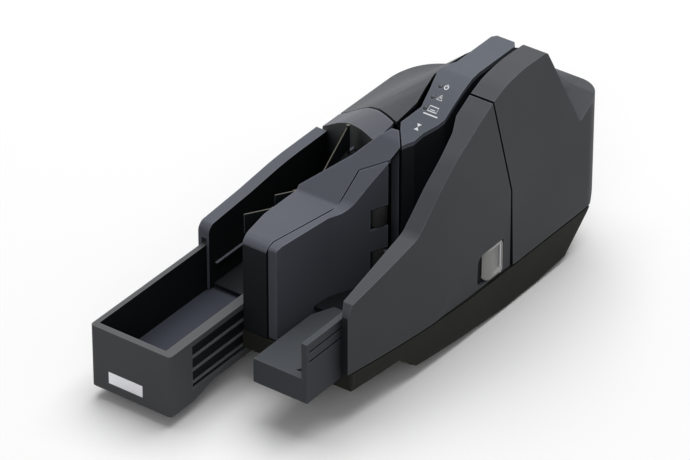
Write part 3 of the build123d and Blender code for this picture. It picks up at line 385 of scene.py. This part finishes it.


# a lining's finish, its lowest and highest corner, and the way that its faces look; a longer way takes in more faces.
# The black finishes inside pockets, slots, recesses and seams are painted shade
paintedShadeAndHighlightLinings = {
    # tray: inner walls painted black as shade, floor in its own slate colour
    "pocket_tray": [(paintedShadeBlack, (-74, -171.2, 12), (-19.8, -40, 46), (1, 0, 0)),
                    (paintedShadeBlack, (-74, -171.2, 12), (-19.8, -40, 46), (0, 1, 0)),
                    (paintedShadeBlack, (-74, -171.2, 12), (-19.8, -40, 46), (-1, 0, 0)),
                    (trayFloorGrey, (-74, -171.2, 12), (-13, -40, 13), (0, 0, 1)),
                    (paintedShadeBlack, (-15, -153.2, 10), (-13.2, -69, 43), (1, 0, 0))],
    # pocket: its inner faces painted black as shade
    "pocket_wall": [(paintedShadeBlack, (-73, -60.5, 13), (-30, 72, 66), (1, 0, 0)),
                    (paintedShadeBlack, (-75, -58, 13), (0, 72, 140), (0, -1, 0)),
                    (paintedShadeBlack, (-75, -58, 13), (0, 72, 140), (0.62, -0.78, 0))],
    # divider: front face painted near-black; its faces along the pocket and the feed path painted black as shade
    "divider_cover": [(innerBlack, (-19, -100.5, 20), (8, -97, 92), (0, -1, 0)),
                      (paintedShadeBlack, (-19, -100, 20), (30, 9, 150), (-1, 0, 0)),
                      (paintedShadeBlack, (4, -99, 20), (46, 9, 150), (1, 0, 0))],
    # extension: the bottoms of its side slots painted black as shade
    "feeder_extension": [(paintedShadeBlack, (60, -136, 40), (65.4, -94, 66), (1, 0, 0))],
    # right cover: its narrow front face painted near-black; the latch recess and its face in the seam painted black
    # as shade
    "right_cover": [(innerBlack, (60, -104.5, 20), (73, -103, 72), (0, -1, 0)),
                    (paintedShadeBlack, (75, 29, 23), (78, 60, 50), (1, 0, 0)),
                    (paintedShadeBlack, (20, 38, 20), (81, 72, 176), (0, 1, 0))],
    # rear cover: its face in the seam painted black as shade
    "rear_cover": [(paintedShadeBlack, (20, 40, 20), (81, 76, 176), (0, -1, 0))],
    # roof: its faces over the pocket and in the exit slot painted black as shade
    "left_cover": [(paintedShadeBlack, (-82, 10, 20), (30, 110, 176), (-0.62, -0.79, 0)),
                   (paintedShadeBlack, (20, 10, 60), (40, 176, 176), (1, 0, 0))],
}
# the leaves' upward faces are painted pale: a painted highlight along their top edges
for leaf in ("rear_leaf", "front_leaf", "middle_leaf"):
    paintedShadeAndHighlightLinings[leaf] = [(paintedLeafHighlight, (-80, -100, 0), (80, 60, 180), (0, 0, 1.6))]
everywhere = -200.0
eased = {  # reach of the rounding, and the place from which folds are rounded
    "right_cover": (10.0, everywhere), "rear_cover": (10.0, everywhere), "divider_cover": (12.0, everywhere),
    "feeder_guide": (12.0, everywhere), "indicator_panel": (7.0, 50.0), "pocket_wall": (12.0, everywhere),
}
shells = {  # width of the rounding along each moulding's edges
    "right_cover": 1.3, "rear_cover": 1.3, "left_cover": 0.9, "pocket_wall": 0.8, "divider_cover": 1.1,
    "indicator_panel": 0.9, "feeder_guide": 0.7, "pocket_tray": 1.0, "feeder_extension": 0.7, "base_case": 0.6,
    "column_body": 0.4, "path_guide": 0.3, "turn_guide": 0.4, "pusher_plate": 0.3, "rubber_feet": 0.5,
    "power_button": 0.7, "power_inlet": 0.3, "data_socket": 0.3, "ink_cartridge": 0.7, "cartridge_holder": 0.4,
    "pocket_floor": 0.4, "label_plate": 0.1, "rear_leaf": 0.12, "front_leaf": 0.12, "middle_leaf": 0.12,
}
for name, width in shells.items():
    softened(name, width, paintedShadeAndHighlightLinings.get(name, ()), eased.get(name))
print("mouldings rounded:", len(shells))


# small parts built from profiles, outlines and rounded blocks
class Build:
    def __init__(self, name, finishList):
        self.name = name
        self.finishList = finishList
        self.work = bmesh.new()

    def paint(self, faces, index):
        for face in faces:
            face.material_index = index

    def turned(self, profile, base, axis, turns, ripple=0.0, ribs=0, closed=False, index=0):
        # a profile of (radius, height) turned round an axis; ripple cuts grip ribs into the larger radii
        along = Vector(axis).normalized()
        side = along.orthogonal().normalized()
        other = along.cross(side)
        ribbedFrom = max(radius for radius, height in profile) - 0.3
        rings = []
        for radius, height in profile:
            ring = []
            for k in range(turns):
                a = 2 * math.pi * k / turns
                cutIn = ripple * (0.5 + 0.5 * math.cos(ribs * a)) if radius > ribbedFrom else 0.0
                spoke = side * math.cos(a) + other * math.sin(a)
                ring.append(self.work.verts.new(base + along * height * mm + spoke * (radius - cutIn) * mm))
            rings.append(ring)
        made = []
        for low, high in zip(rings, rings[1:] + rings[:1] if closed else rings[1:]):
            for k in range(turns):
                n = (k + 1) % turns
                made.append(self.work.faces.new((low[k], low[n], high[n], high[k])))
        if not closed:
            made.append(self.work.faces.new(rings[0][::-1]))
            made.append(self.work.faces.new(rings[-1]))
        self.paint(made, index)

    def prism(self, outline, drop, index=0):
        # a flat outline of points with its lower copy
        upper = [self.work.verts.new(point) for point in outline]
        lower = [self.work.verts.new(point + drop) for point in outline]
        made = [self.work.faces.new(upper), self.work.faces.new(lower[::-1])]
        for k in range(len(upper)):
            n = (k + 1) % len(upper)
            made.append(self.work.faces.new((upper[k], lower[k], lower[n], upper[n])))
        self.paint(made, index)

    def rounded(self, low, high, radius, index=0, segments=2):
        # a block with rounded edges between two corners
        low, high = at(*low), at(*high)
        made = bmesh.ops.create_cube(self.work, size=1.0)["verts"]
        for vert in made:
            vert.co = Vector(a + (c + 0.5) * (b - a) for a, b, c in zip(low, high, vert.co))
        edges = list(dict.fromkeys(edge for vert in made for edge in vert.link_edges))
        bevelled = bmesh.ops.bevel(self.work, geom=edges, offset=radius * mm, segments=segments, profile=0.5,
                                   affect="EDGES")
        self.paint({face for vert in bevelled["verts"] for face in vert.link_faces}, index)

    def finish(self, body, slot, stands=(), angle=32.0):
        bmesh.ops.recalc_face_normals(self.work, faces=self.work.faces)
        shadeByAngle(self.work, angle)
        mesh = bpy.data.meshes.new(self.name)
        self.work.to_mesh(mesh)
        self.work.free()
        for finish in self.finishList:
            mesh.materials.append(finish)
        setOut(self.name, mesh, body, stands)


upwards = (0, 0, 1)

# indicator panel: the marks and lenses follow the panel's slope
panelLook = {
    "slope": [(-36.0, 98.0), (-14.0, 119.5), (2.6, 135.5), (31.5, 153.5), (43.3, 160.0), (54.0, 164.6)],
    "lenses": [(39.8, 41.9), (39.3, 34.1), (38.8, 26.5)],
    "lensProfile": [(1.4, -1.6), (1.4, 0.06), (1.24, 0.3), (0.9, 0.44), (0.45, 0.52)],
    "markLift": 0.05, "markDepth": 0.3,
}


def panelPoint(x, y, lift=0.0):
    for (y0, z0), (y1, z1) in zip(panelLook["slope"], panelLook["slope"][1:]):
        if y0 <= y <= y1:
            return at(x, y, z0 + (z1 - z0) * (y - y0) / (y1 - y0) + lift)


def panelNormal(y):
    rise = panelPoint(0, y + 0.5) - panelPoint(0, y - 0.5)
    return Vector((0, -rise.z, rise.y)).normalized()


for number, (x, y) in enumerate(panelLook["lenses"]):
    lens = Build("statusLens%d" % (number + 1), [smokedLens])
    lens.turned(panelLook["lensProfile"], panelPoint(x, y), panelNormal(y), turns=28)
    lens.finish("case", slotOf["indicator_lenses"], ["indicator_lenses"] if number == 0 else ())


def onPanel(x, y):
    return panelPoint(x, y, panelLook["markLift"])


def ringPath(x, y, radius, start, sweep, steps=22):
    return [(x + radius * math.cos(math.radians(start + sweep * k / steps)),
             y + radius * math.sin(math.radians(start + sweep * k / steps))) for k in range(steps + 1)]


def drawStroke(build, path, width, drop, closed=False):
    # a line of the given width drawn along plan points of the panel
    count = len(path)
    sides = []
    for k, (x, y) in enumerate(path):
        before = path[k - 1] if closed or k > 0 else path[k]
        after = path[(k + 1) % count] if closed or k < count - 1 else path[k]
        way = Vector((after[0] - before[0], after[1] - before[1])).normalized()
        shift = Vector((-way.y, way.x)) * width / 2
        sides.append((onPanel(x + shift.x, y + shift.y), onPanel(x - shift.x, y - shift.y)))
    for k in range(count if closed else count - 1):
        (a, b), (c, d) = sides[k], sides[(k + 1) % count]
        build.prism([a, b, d, c], drop)


markStrokes = {  # path, width, and whether it closes
    "power": [(ringPath(44.2, 42.3, 1.35, 125, 290), 0.62, False),
              ([(44.2, 42.5), (44.2, 44.3)], 0.62, False)],
    "fault": [([(42.6, 33.4), (46.6, 33.4), (44.6, 36.9)], 0.6, True),
              ([(44.6, 34.4), (44.6, 35.5)], 0.55, False)],
    "document": [([(41.3, 25.4), (41.3, 28.6), (48.0, 28.6), (48.0, 25.4)], 0.6, True),
                 ([(42.7, 26.5), (46.6, 26.5)], 0.45, False),
                 ([(39.6, 23.3), (50.6, 23.3)], 0.75, False)],
}
feedArrows = [[(41.7, 14.4), (43.5, 16.3), (39.9, 16.3)], [(41.7, 14.2), (43.5, 12.3), (39.9, 12.3)]]
marks = Build("panelMarks", [markWhite])
markDrop = Vector((0, 0, -panelLook["markDepth"])) * mm
for strokes in markStrokes.values():
    for path, width, closed in strokes:
        drawStroke(marks, path, width, markDrop, closed)
for corners in feedArrows:
    marks.prism([onPanel(*corner) for corner in corners], markDrop)
marks.finish("case", "lens")
print("panel marks and lenses made")

# cover latch: a lever with a round nose and a finger scoop in its face, rounded about its pin at the rear
latchLook = {
    "y": (38.35, 58.7), "z": (24.35, 48.15), "outer": 80.0, "back": 76.7, "steps": (44, 48),
    "round": 4.5, "rearRound": 59.2, "rim": 0.9, "pin": (78.2, 57.0), "pinRadius": 1.76,
    "ridge": 45.0, "noseRadius": 8.2, "scoop": 2.6, "scoopRear": 57.0, "scoopEnd": 56.5,
    "scoopFloor": 26.0, "scoopTop": (45.4, 47.3), "floorEase": 2.4, "edgeEase": 0.8,
}


def stepUp(value, start, width):
    t = max(0.0, min(1.0, (value - start) / width))
    return t * t * (3 - 2 * t)


def heightSpan(y):
    # lowest and highest point of the lever at y, with its rounded corners
    look = latchLook
    inset = 0.0
    for reach in (y - look["y"][0] + 0.02, look["rearRound"] - y):
        if reach < look["round"]:
            inset = look["round"] - math.sqrt(look["round"] ** 2 - (look["round"] - reach) ** 2)
    return look["z"][0] + inset, look["z"][1] - inset


def roundPin(y):
    # half the lever's thickness behind its pin, where it is turned about the pin
    look = latchLook
    return math.sqrt(max(0.0, look["pinRadius"] ** 2 - (y - look["pin"][1]) ** 2))


def leverDepth(y, z):
    # how far the lever's face lies inside the cover's side
    look = latchLook
    radius = look["noseRadius"]
    before = max(0.0, look["ridge"] - y)
    depth = radius - math.sqrt(radius ** 2 - before ** 2)
    if y > look["pin"][1]:
        depth += look["outer"] - look["pin"][0] - roundPin(y)
    low, high = heightSpan(y)
    rim = min(z - low, high - z) / look["rim"]
    depth += look["rim"] * (1 - math.sqrt(max(0.0, 1 - max(0.0, 1 - rim) ** 2)))
    along = (y - look["ridge"]) / (look["scoopRear"] - look["ridge"])
    top = look["scoopTop"][0] + along * (look["scoopTop"][1] - look["scoopTop"][0])
    mask = stepUp(z, look["scoopFloor"], look["floorEase"]) * stepUp(top - z, 0.0, look["edgeEase"])
    mask *= 1 - stepUp(y, look["scoopEnd"], look["edgeEase"])
    return depth + look["scoop"] * max(0.0, along) * mask


lever = Build("latchLever", [latchGrey])
yCount, zCount = latchLook["steps"]
front, back = [], []
for i in range(yCount + 1):
    y = latchLook["y"][0] + (latchLook["y"][1] - latchLook["y"][0]) * i / yCount
    low, high = heightSpan(y)
    backX = latchLook["back"]
    if y >= latchLook["pin"][1]:
        backX = max(backX, latchLook["pin"][0] - roundPin(y))
    column, rear = [], []
    for j in range(zCount + 1):
        z = low + (high - low) * (0.5 - 0.5 * math.cos(math.pi * j / zCount))
        column.append(lever.work.verts.new(at(latchLook["outer"] - leverDepth(y, z), y, z)))
        rear.append(lever.work.verts.new(at(backX, y, z)))
    front.append(column)
    back.append(rear)
for i in range(yCount):
    for j in range(zCount):
        lever.work.faces.new((front[i][j], front[i + 1][j], front[i + 1][j + 1], front[i][j + 1]))
        lever.work.faces.new((back[i][j + 1], back[i + 1][j + 1], back[i + 1][j], back[i][j]))
for i in range(yCount):
    for j, turnOver in ((0, False), (zCount, True)):
        ring = (front[i][j], back[i][j], back[i + 1][j], front[i + 1][j])
        lever.work.faces.new(ring[::-1] if turnOver else ring)
for j in range(zCount):
    for i, turnOver in ((0, True), (yCount, False)):
        ring = (front[i][j], back[i][j], back[i][j + 1], front[i][j + 1])
        lever.work.faces.new(ring[::-1] if turnOver else ring)
lever.finish("latch", slotOf["cover_latch"], ["cover_latch"], angle=50.0)
print("latch made")

# rollers: ribbed rubber rings with rounded shoulders on their hubs
lowBand, highBand = (46.0, 60.0), (88.0, 104.0)
rollers = {
    "pick_roller": {"at": (27.5, -10.5), "radius": 7.0, "hub": 3.6, "bore": 2.0, "ends": 1.0,
                    "bands": [lowBand, (78.0, 92.0)]},
    "drive_roller": {"at": (49.5, 48.0), "radius": 7.0, "hub": 3.6, "bore": 2.0, "ends": 1.0,
                     "bands": [lowBand, highBand]},
    "rear_roller": {"at": (44.5, 94.5), "radius": 12.0, "hub": 3.6, "bore": 2.0, "ends": 1.0,
                    "bands": [lowBand, highBand]},
    "exit_roller": {"at": (40.5, 24.0), "radius": 6.0, "hub": 3.6, "bore": 2.0, "ends": 1.0,
                    "bands": [lowBand, highBand]},
    "pinch_roller": {"at": (62.65, 48.0), "radius": 6.0, "hub": 2.6, "bore": 1.05, "ends": 1.5,
                     "bands": [lowBand, highBand]},
}
ribLook = {"shoulder": 0.7, "crown": 0.2, "turns": 144, "ribs": 36, "depth": 0.16}
shoulder, crown = ribLook["shoulder"], ribLook["crown"]
for name, look in rollers.items():
    hub, radius, bore = look["hub"], look["radius"], look["bore"]
    lowest, highest = look["bands"][0][0] - look["ends"], look["bands"][-1][1] + look["ends"]
    profile = [(bore, lowest), (hub, lowest)]
    for low, high in look["bands"]:
        profile += [(hub, low), (radius - shoulder, low), (radius - crown, low + crown), (radius, low + shoulder),
                    (radius, high - shoulder), (radius - crown, high - crown), (radius - shoulder, high), (hub, high)]
    profile += [(hub, highest), (bore, highest)]
    ring = Build(name + "Ribbed", [rollerRubber])
    ring.turned(profile, at(*look["at"], 0), upwards, turns=ribLook["turns"], ripple=ribLook["depth"],
                ribs=ribLook["ribs"], closed=True)
    ring.finish(nodes[name]["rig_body"], slotOf[name], [name])
print("rollers made:", len(rollers))

# mechanism: screw heads with a black cross painted flush on each as the shade of a cross recess, the motor's end and
# the boards' parts
screwLook = {
    "at": [(15, -15.5), (62, 5.0), (62, 128), (-2, 128), (-22, 60)], "deck": 31.5,
    "profile": [(1.3, -19.5), (1.3, 0.0), (2.8, 0.0), (2.8, 0.7), (2.4, 1.25), (1.5, 1.6)],
    "crossTop": 1.61, "crossHalf": 0.42, "crossReach": 1.5, "crossDepth": 0.4,
}


def crossOutline(x, y, z, half, reach):
    corners = [(half, reach), (half, half), (reach, half), (reach, -half), (half, -half), (half, -reach),
               (-half, -reach), (-half, -half), (-reach, -half), (-reach, half), (-half, half), (-half, reach)]
    return [at(x + dx, y + dy, z) for dx, dy in corners]


screws = Build("plateScrews", [groundSteel, paintedShadeBlack])
for x, y in screwLook["at"]:
    screws.turned(screwLook["profile"], at(x, y, screwLook["deck"]), upwards, turns=32)
    # no recess is cut: a black cross, flush with the head, is painted shade standing for the recess
    cross = crossOutline(x, y, screwLook["deck"] + screwLook["crossTop"], screwLook["crossHalf"],
                         screwLook["crossReach"])
    screws.prism(cross, Vector((0, 0, -screwLook["crossDepth"])) * mm, index=1)
screws.finish("case", slotOf["plate_screws"], ["plate_screws"])

motorLook = {
    "at": (-10.0, 46.0), "top": 66.5, "sunk": 0.05,
    "bell": [(13.2, 0.0), (13.2, 1.2), (12.4, 2.0), (5.2, 2.0), (5.0, 3.4), (4.0, 4.0), (1.6, 4.0)],
    "stub": [(1.5, 3.9), (1.5, 4.6), (1.2, 4.9)],
    "tabOut": 9, "tabHalf": (0.4, 2.0), "tabHeights": (1.8, 7.0), "tabRound": 0.2,
}
motorEnd = Build("motorEndBell", [innerBlack, contactGold, groundSteel])
(x, y), top = motorLook["at"], motorLook["top"]
(halfX, halfY), (tabFoot, tabTip) = motorLook["tabHalf"], motorLook["tabHeights"]
motorEnd.turned(motorLook["bell"], at(x, y, top - motorLook["sunk"]), upwards, turns=56)
for side in (-1, 1):
    tabX = x + side * motorLook["tabOut"]
    motorEnd.rounded((tabX - halfX, y - halfY, top + tabFoot), (tabX + halfX, y + halfY, top + tabTip),
                     motorLook["tabRound"], index=1)
motorEnd.turned(motorLook["stub"], at(x, y, top), upwards, turns=24, index=2)
motorEnd.finish("case", "dark_plastic")

boardLook = {
    "top": 27.6, "sunk": 0.02, "seed": 11,
    "chips": [(-46, 100, 7, 7), (-27, 113, 4.5, 7), (-44, 118, 3.4, 4.6)],  # middle and half sizes
    "chipFoot": 0.2, "chipTop": 1.8, "chipRound": 0.25,
    "legPitch": 1.27, "legOut": 1.1, "legIn": 0.1, "legHalf": 0.22, "legTop": 0.75, "legRound": 0.08,
    "cans": [(-20, 92, 3.2, 8.0), (-20, 100, 3.2, 8.0), (-54, 126, 2.6, 6.0)],  # middle, radius and height
    "sockets": [(-38, 127, 8), (-56, 90, 4)],  # corner and number of pins
    "socketEnds": 1.2, "socketWidth": 4.2, "socketTop": 5.2, "socketRound": 0.3,
    "pinPitch": 2.2, "firstPin": 1.6, "pinHalf": 0.3, "pinIn": 1.7, "pinOut": 2.3, "pinFoot": 4.9, "pinTip": 7.4,
    "pinRound": 0.12, "smallCount": 26, "smallX": (-58, -17), "smallY": (86, 124), "smallSize": (1.6, 0.8, 0.6),
}
look = boardLook
boardParts = Build("boardParts", [innerBlack, groundSteel, capSleeve, markWhite])
top, foot = look["top"], look["top"] - look["sunk"]
for x, y, halfX, halfY in look["chips"]:
    boardParts.rounded((x - halfX, y - halfY, top + look["chipFoot"]), (x + halfX, y + halfY, top + look["chipTop"]),
                       look["chipRound"])
    for k in range(int(halfY * 2 / look["legPitch"]) - 1):
        legY = y - halfY + look["legPitch"] * (k + 1)
        for side in (-1, 1):
            outer, inner = x + side * (halfX + look["legOut"]), x + side * (halfX - look["legIn"])
            boardParts.rounded((min(outer, inner), legY - look["legHalf"], foot),
                               (max(outer, inner), legY + look["legHalf"], top + look["legTop"]),
                               look["legRound"], index=1, segments=1)
for x, y, radius, height in look["cans"]:
    sleeve = [(radius - 0.3, 0.0), (radius, 0.3), (radius, 1.0), (radius - 0.25, 1.3), (radius, 1.6),
              (radius, height - 0.4), (radius - 0.4, height)]
    lid = [(radius - 0.9, height - 0.1), (radius - 1.0, height + 0.06)]
    boardParts.turned(sleeve, at(x, y, top), upwards, turns=30, index=2)
    boardParts.turned(lid, at(x, y, top), upwards, turns=30, index=1)
for x, y, count in look["sockets"]:
    end = x + count * look["pinPitch"] + look["socketEnds"]
    boardParts.rounded((x, y, foot), (end, y + look["socketWidth"], top + look["socketTop"]), look["socketRound"],
                       index=3)
    for k in range(count):
        pinX = x + look["firstPin"] + look["pinPitch"] * k
        boardParts.rounded((pinX - look["pinHalf"], y + look["pinIn"], top + look["pinFoot"]),
                           (pinX + look["pinHalf"], y + look["pinOut"], top + look["pinTip"]),
                           look["pinRound"], index=1, segments=1)
scatter = random.Random(look["seed"])
long, wide, tall = look["smallSize"]
for k in range(look["smallCount"]):
    x, y = scatter.uniform(*look["smallX"]), scatter.uniform(*look["smallY"])
    boardParts.rounded((x, y, foot), (x + long, y + wide, top + tall), 0.1, index=scatter.choice((0, 3)), segments=1)
boardParts.finish("case", "board")

# rear sockets: pin and tongue inside their mouths, and the mark on the power button
rearLook = {
    "inlet": (42.0, 66.0), "pinFoot": 168.3, "pin": [(1.05, 0.0), (1.05, 5.4), (0.85, 6.0), (0.4, 6.3)],
    "port": (58.0, 66.0), "tongueHalf": (2.9, 1.6), "tongueReach": (169.3, 174.6),
    "contactCount": 4, "contactPitch": 1.2, "contactHalf": 0.3, "contactReach": (169.6, 174.0),
    "contactHeights": [(1.52, 1.72), (-1.72, -1.52)],
    "button": (42.0, 82.5), "markFace": 175.96, "markDepth": 0.3, "markWidth": 0.42, "markRadius": 1.6,
}
x, z = rearLook["inlet"]
inletPin = Build("inletPin", [groundSteel])
inletPin.turned(rearLook["pin"], at(x, rearLook["pinFoot"], z), (0, 1, 0), turns=28)
inletPin.finish("case", "steel")

x, z = rearLook["port"]
(halfX, halfZ), half = rearLook["tongueHalf"], rearLook["contactHalf"]
near, far = rearLook["tongueReach"]
tongue = Build("portTongue", [innerBlack, contactGold])
tongue.rounded((x - halfX, near, z - halfZ), (x + halfX, far, z + halfZ), 0.25)
near, far = rearLook["contactReach"]
for k in range(rearLook["contactCount"]):
    contactX = x - 1.8 + rearLook["contactPitch"] * k
    for low, high in rearLook["contactHeights"]:
        tongue.rounded((contactX - half, near, z + low), (contactX + half, far, z + high), 0.05, index=1, segments=1)
tongue.finish("case", "dark_plastic")


def buttonStroke(build, path):
    # a line drawn along points of the button's face
    for (x0, z0), (x1, z1) in zip(path, path[1:]):
        way = Vector((x1 - x0, z1 - z0)).normalized() * rearLook["markWidth"] / 2
        corners = [(x0 - way.y, z0 + way.x), (x0 + way.y, z0 - way.x),
                   (x1 + way.y, z1 - way.x), (x1 - way.y, z1 + way.x)]
        build.prism([at(u, rearLook["markFace"], v) for u, v in corners], Vector((0, -rearLook["markDepth"], 0)) * mm)


x, z = rearLook["button"]
buttonMark = Build("buttonMark", [markWhite])
buttonStroke(buttonMark, ringPath(x, z - 0.2, rearLook["markRadius"], 125, 290))
buttonStroke(buttonMark, [(x, z + 0.2), (x, z + 2.1)])
buttonMark.finish("power_button", "lens")
print("mechanism and rear details made")

# floor, light and camera
stageLook = {"floorHalf": 6.0, "floorSeen": 0.98, "floorBounce": 0.2, "worldSeen": 1.0, "worldLight": 0.28}


def brightRays(shader):
    # 1 for the rays that should see a white studio: camera, glossy and transmission rays
    camera, glossy, through = (shader.node("ShaderNodeLightPath", output=name)
                               for name in ("Is Camera Ray", "Is Glossy Ray", "Is Transmission Ray"))
    return shader.node("ShaderNodeMath", {"operation": "ADD", "use_clamp": True}, {0: camera + glossy, 1: through})


def makeFloor():
    half = stageLook["floorHalf"]
    mesh = bpy.data.meshes.new("floor")
    mesh.from_pydata([(-half, -half, 0), (half, -half, 0), (half, half, 0), (-half, half, 0)], [], [(0, 1, 2, 3)])
    floor = bpy.data.objects.new("floor", mesh)
    bpy.context.scene.collection.objects.link(floor)
    s = newFinish("paleFloor")
    seen, bounced = (s.node("ShaderNodeBsdfDiffuse", {}, {"Color": (shade, shade, shade, 1)})
                     for shade in (stageLook["floorSeen"], stageLook["floorBounce"]))
    mesh.materials.append(s.close(s.node("ShaderNodeMixShader", {}, {0: brightRays(s), 1: bounced, 2: seen})))


def makeWorld():
    s = Shader(bpy.data.worlds.new("softStudio"), "ShaderNodeOutputWorld")
    seen, light = (s.node("ShaderNodeBackground", {}, {"Color": (1, 1, 1, 1), "Strength": strength})
                   for strength in (stageLook["worldSeen"], stageLook["worldLight"]))
    bpy.context.scene.world = s.close(s.node("ShaderNodeMixShader", {}, {0: brightRays(s), 1: light, 2: seen}))


lamps = {
    "topBox": {"place": (-0.3, 0.9, 3.0), "target": (0, 0, 0.05), "size": (3.0, 3.0), "power": 92.0},
    "frontBox": {"place": (0.9, -1.6, 1.0), "target": (0, 0, 0.05), "size": (1.0, 0.8), "power": 5.0},
}


def softBox(name, place, target, size, power):
    lamp = bpy.data.lights.new(name, "AREA")
    lamp.shape = "RECTANGLE"
    lamp.size, lamp.size_y = size
    lamp.energy = power
    holder = bpy.data.objects.new(name, lamp)
    holder.location = place
    holder.rotation_euler = (Vector(target) - Vector(place)).to_track_quat("-Z", "Y").to_euler()
    bpy.context.scene.collection.objects.link(holder)


makeFloor()
makeWorld()
for name, look in lamps.items():
    softBox(name, **look)

cameraView = {"place": (1.6066, -2.1946, 1.8501), "azimuth": 36.3, "elevation": 33.3, "lens": 260.9, "sensor": 36.0,
              "farthest": 20.0}
lens = bpy.data.cameras.new("photoCamera")
lens.lens = cameraView["lens"]
lens.sensor_width = cameraView["sensor"]
lens.clip_end = cameraView["farthest"]
camera = bpy.data.objects.new("photoCamera", lens)
camera.location = cameraView["place"]
camera.rotation_euler = (math.radians(90 - cameraView["elevation"]), 0, math.radians(cameraView["azimuth"]))
bpy.context.scene.collection.objects.link(camera)
bpy.context.scene.camera = camera
bpy.context.scene.view_settings.view_transform = "Standard"
print("stage, light and camera set")
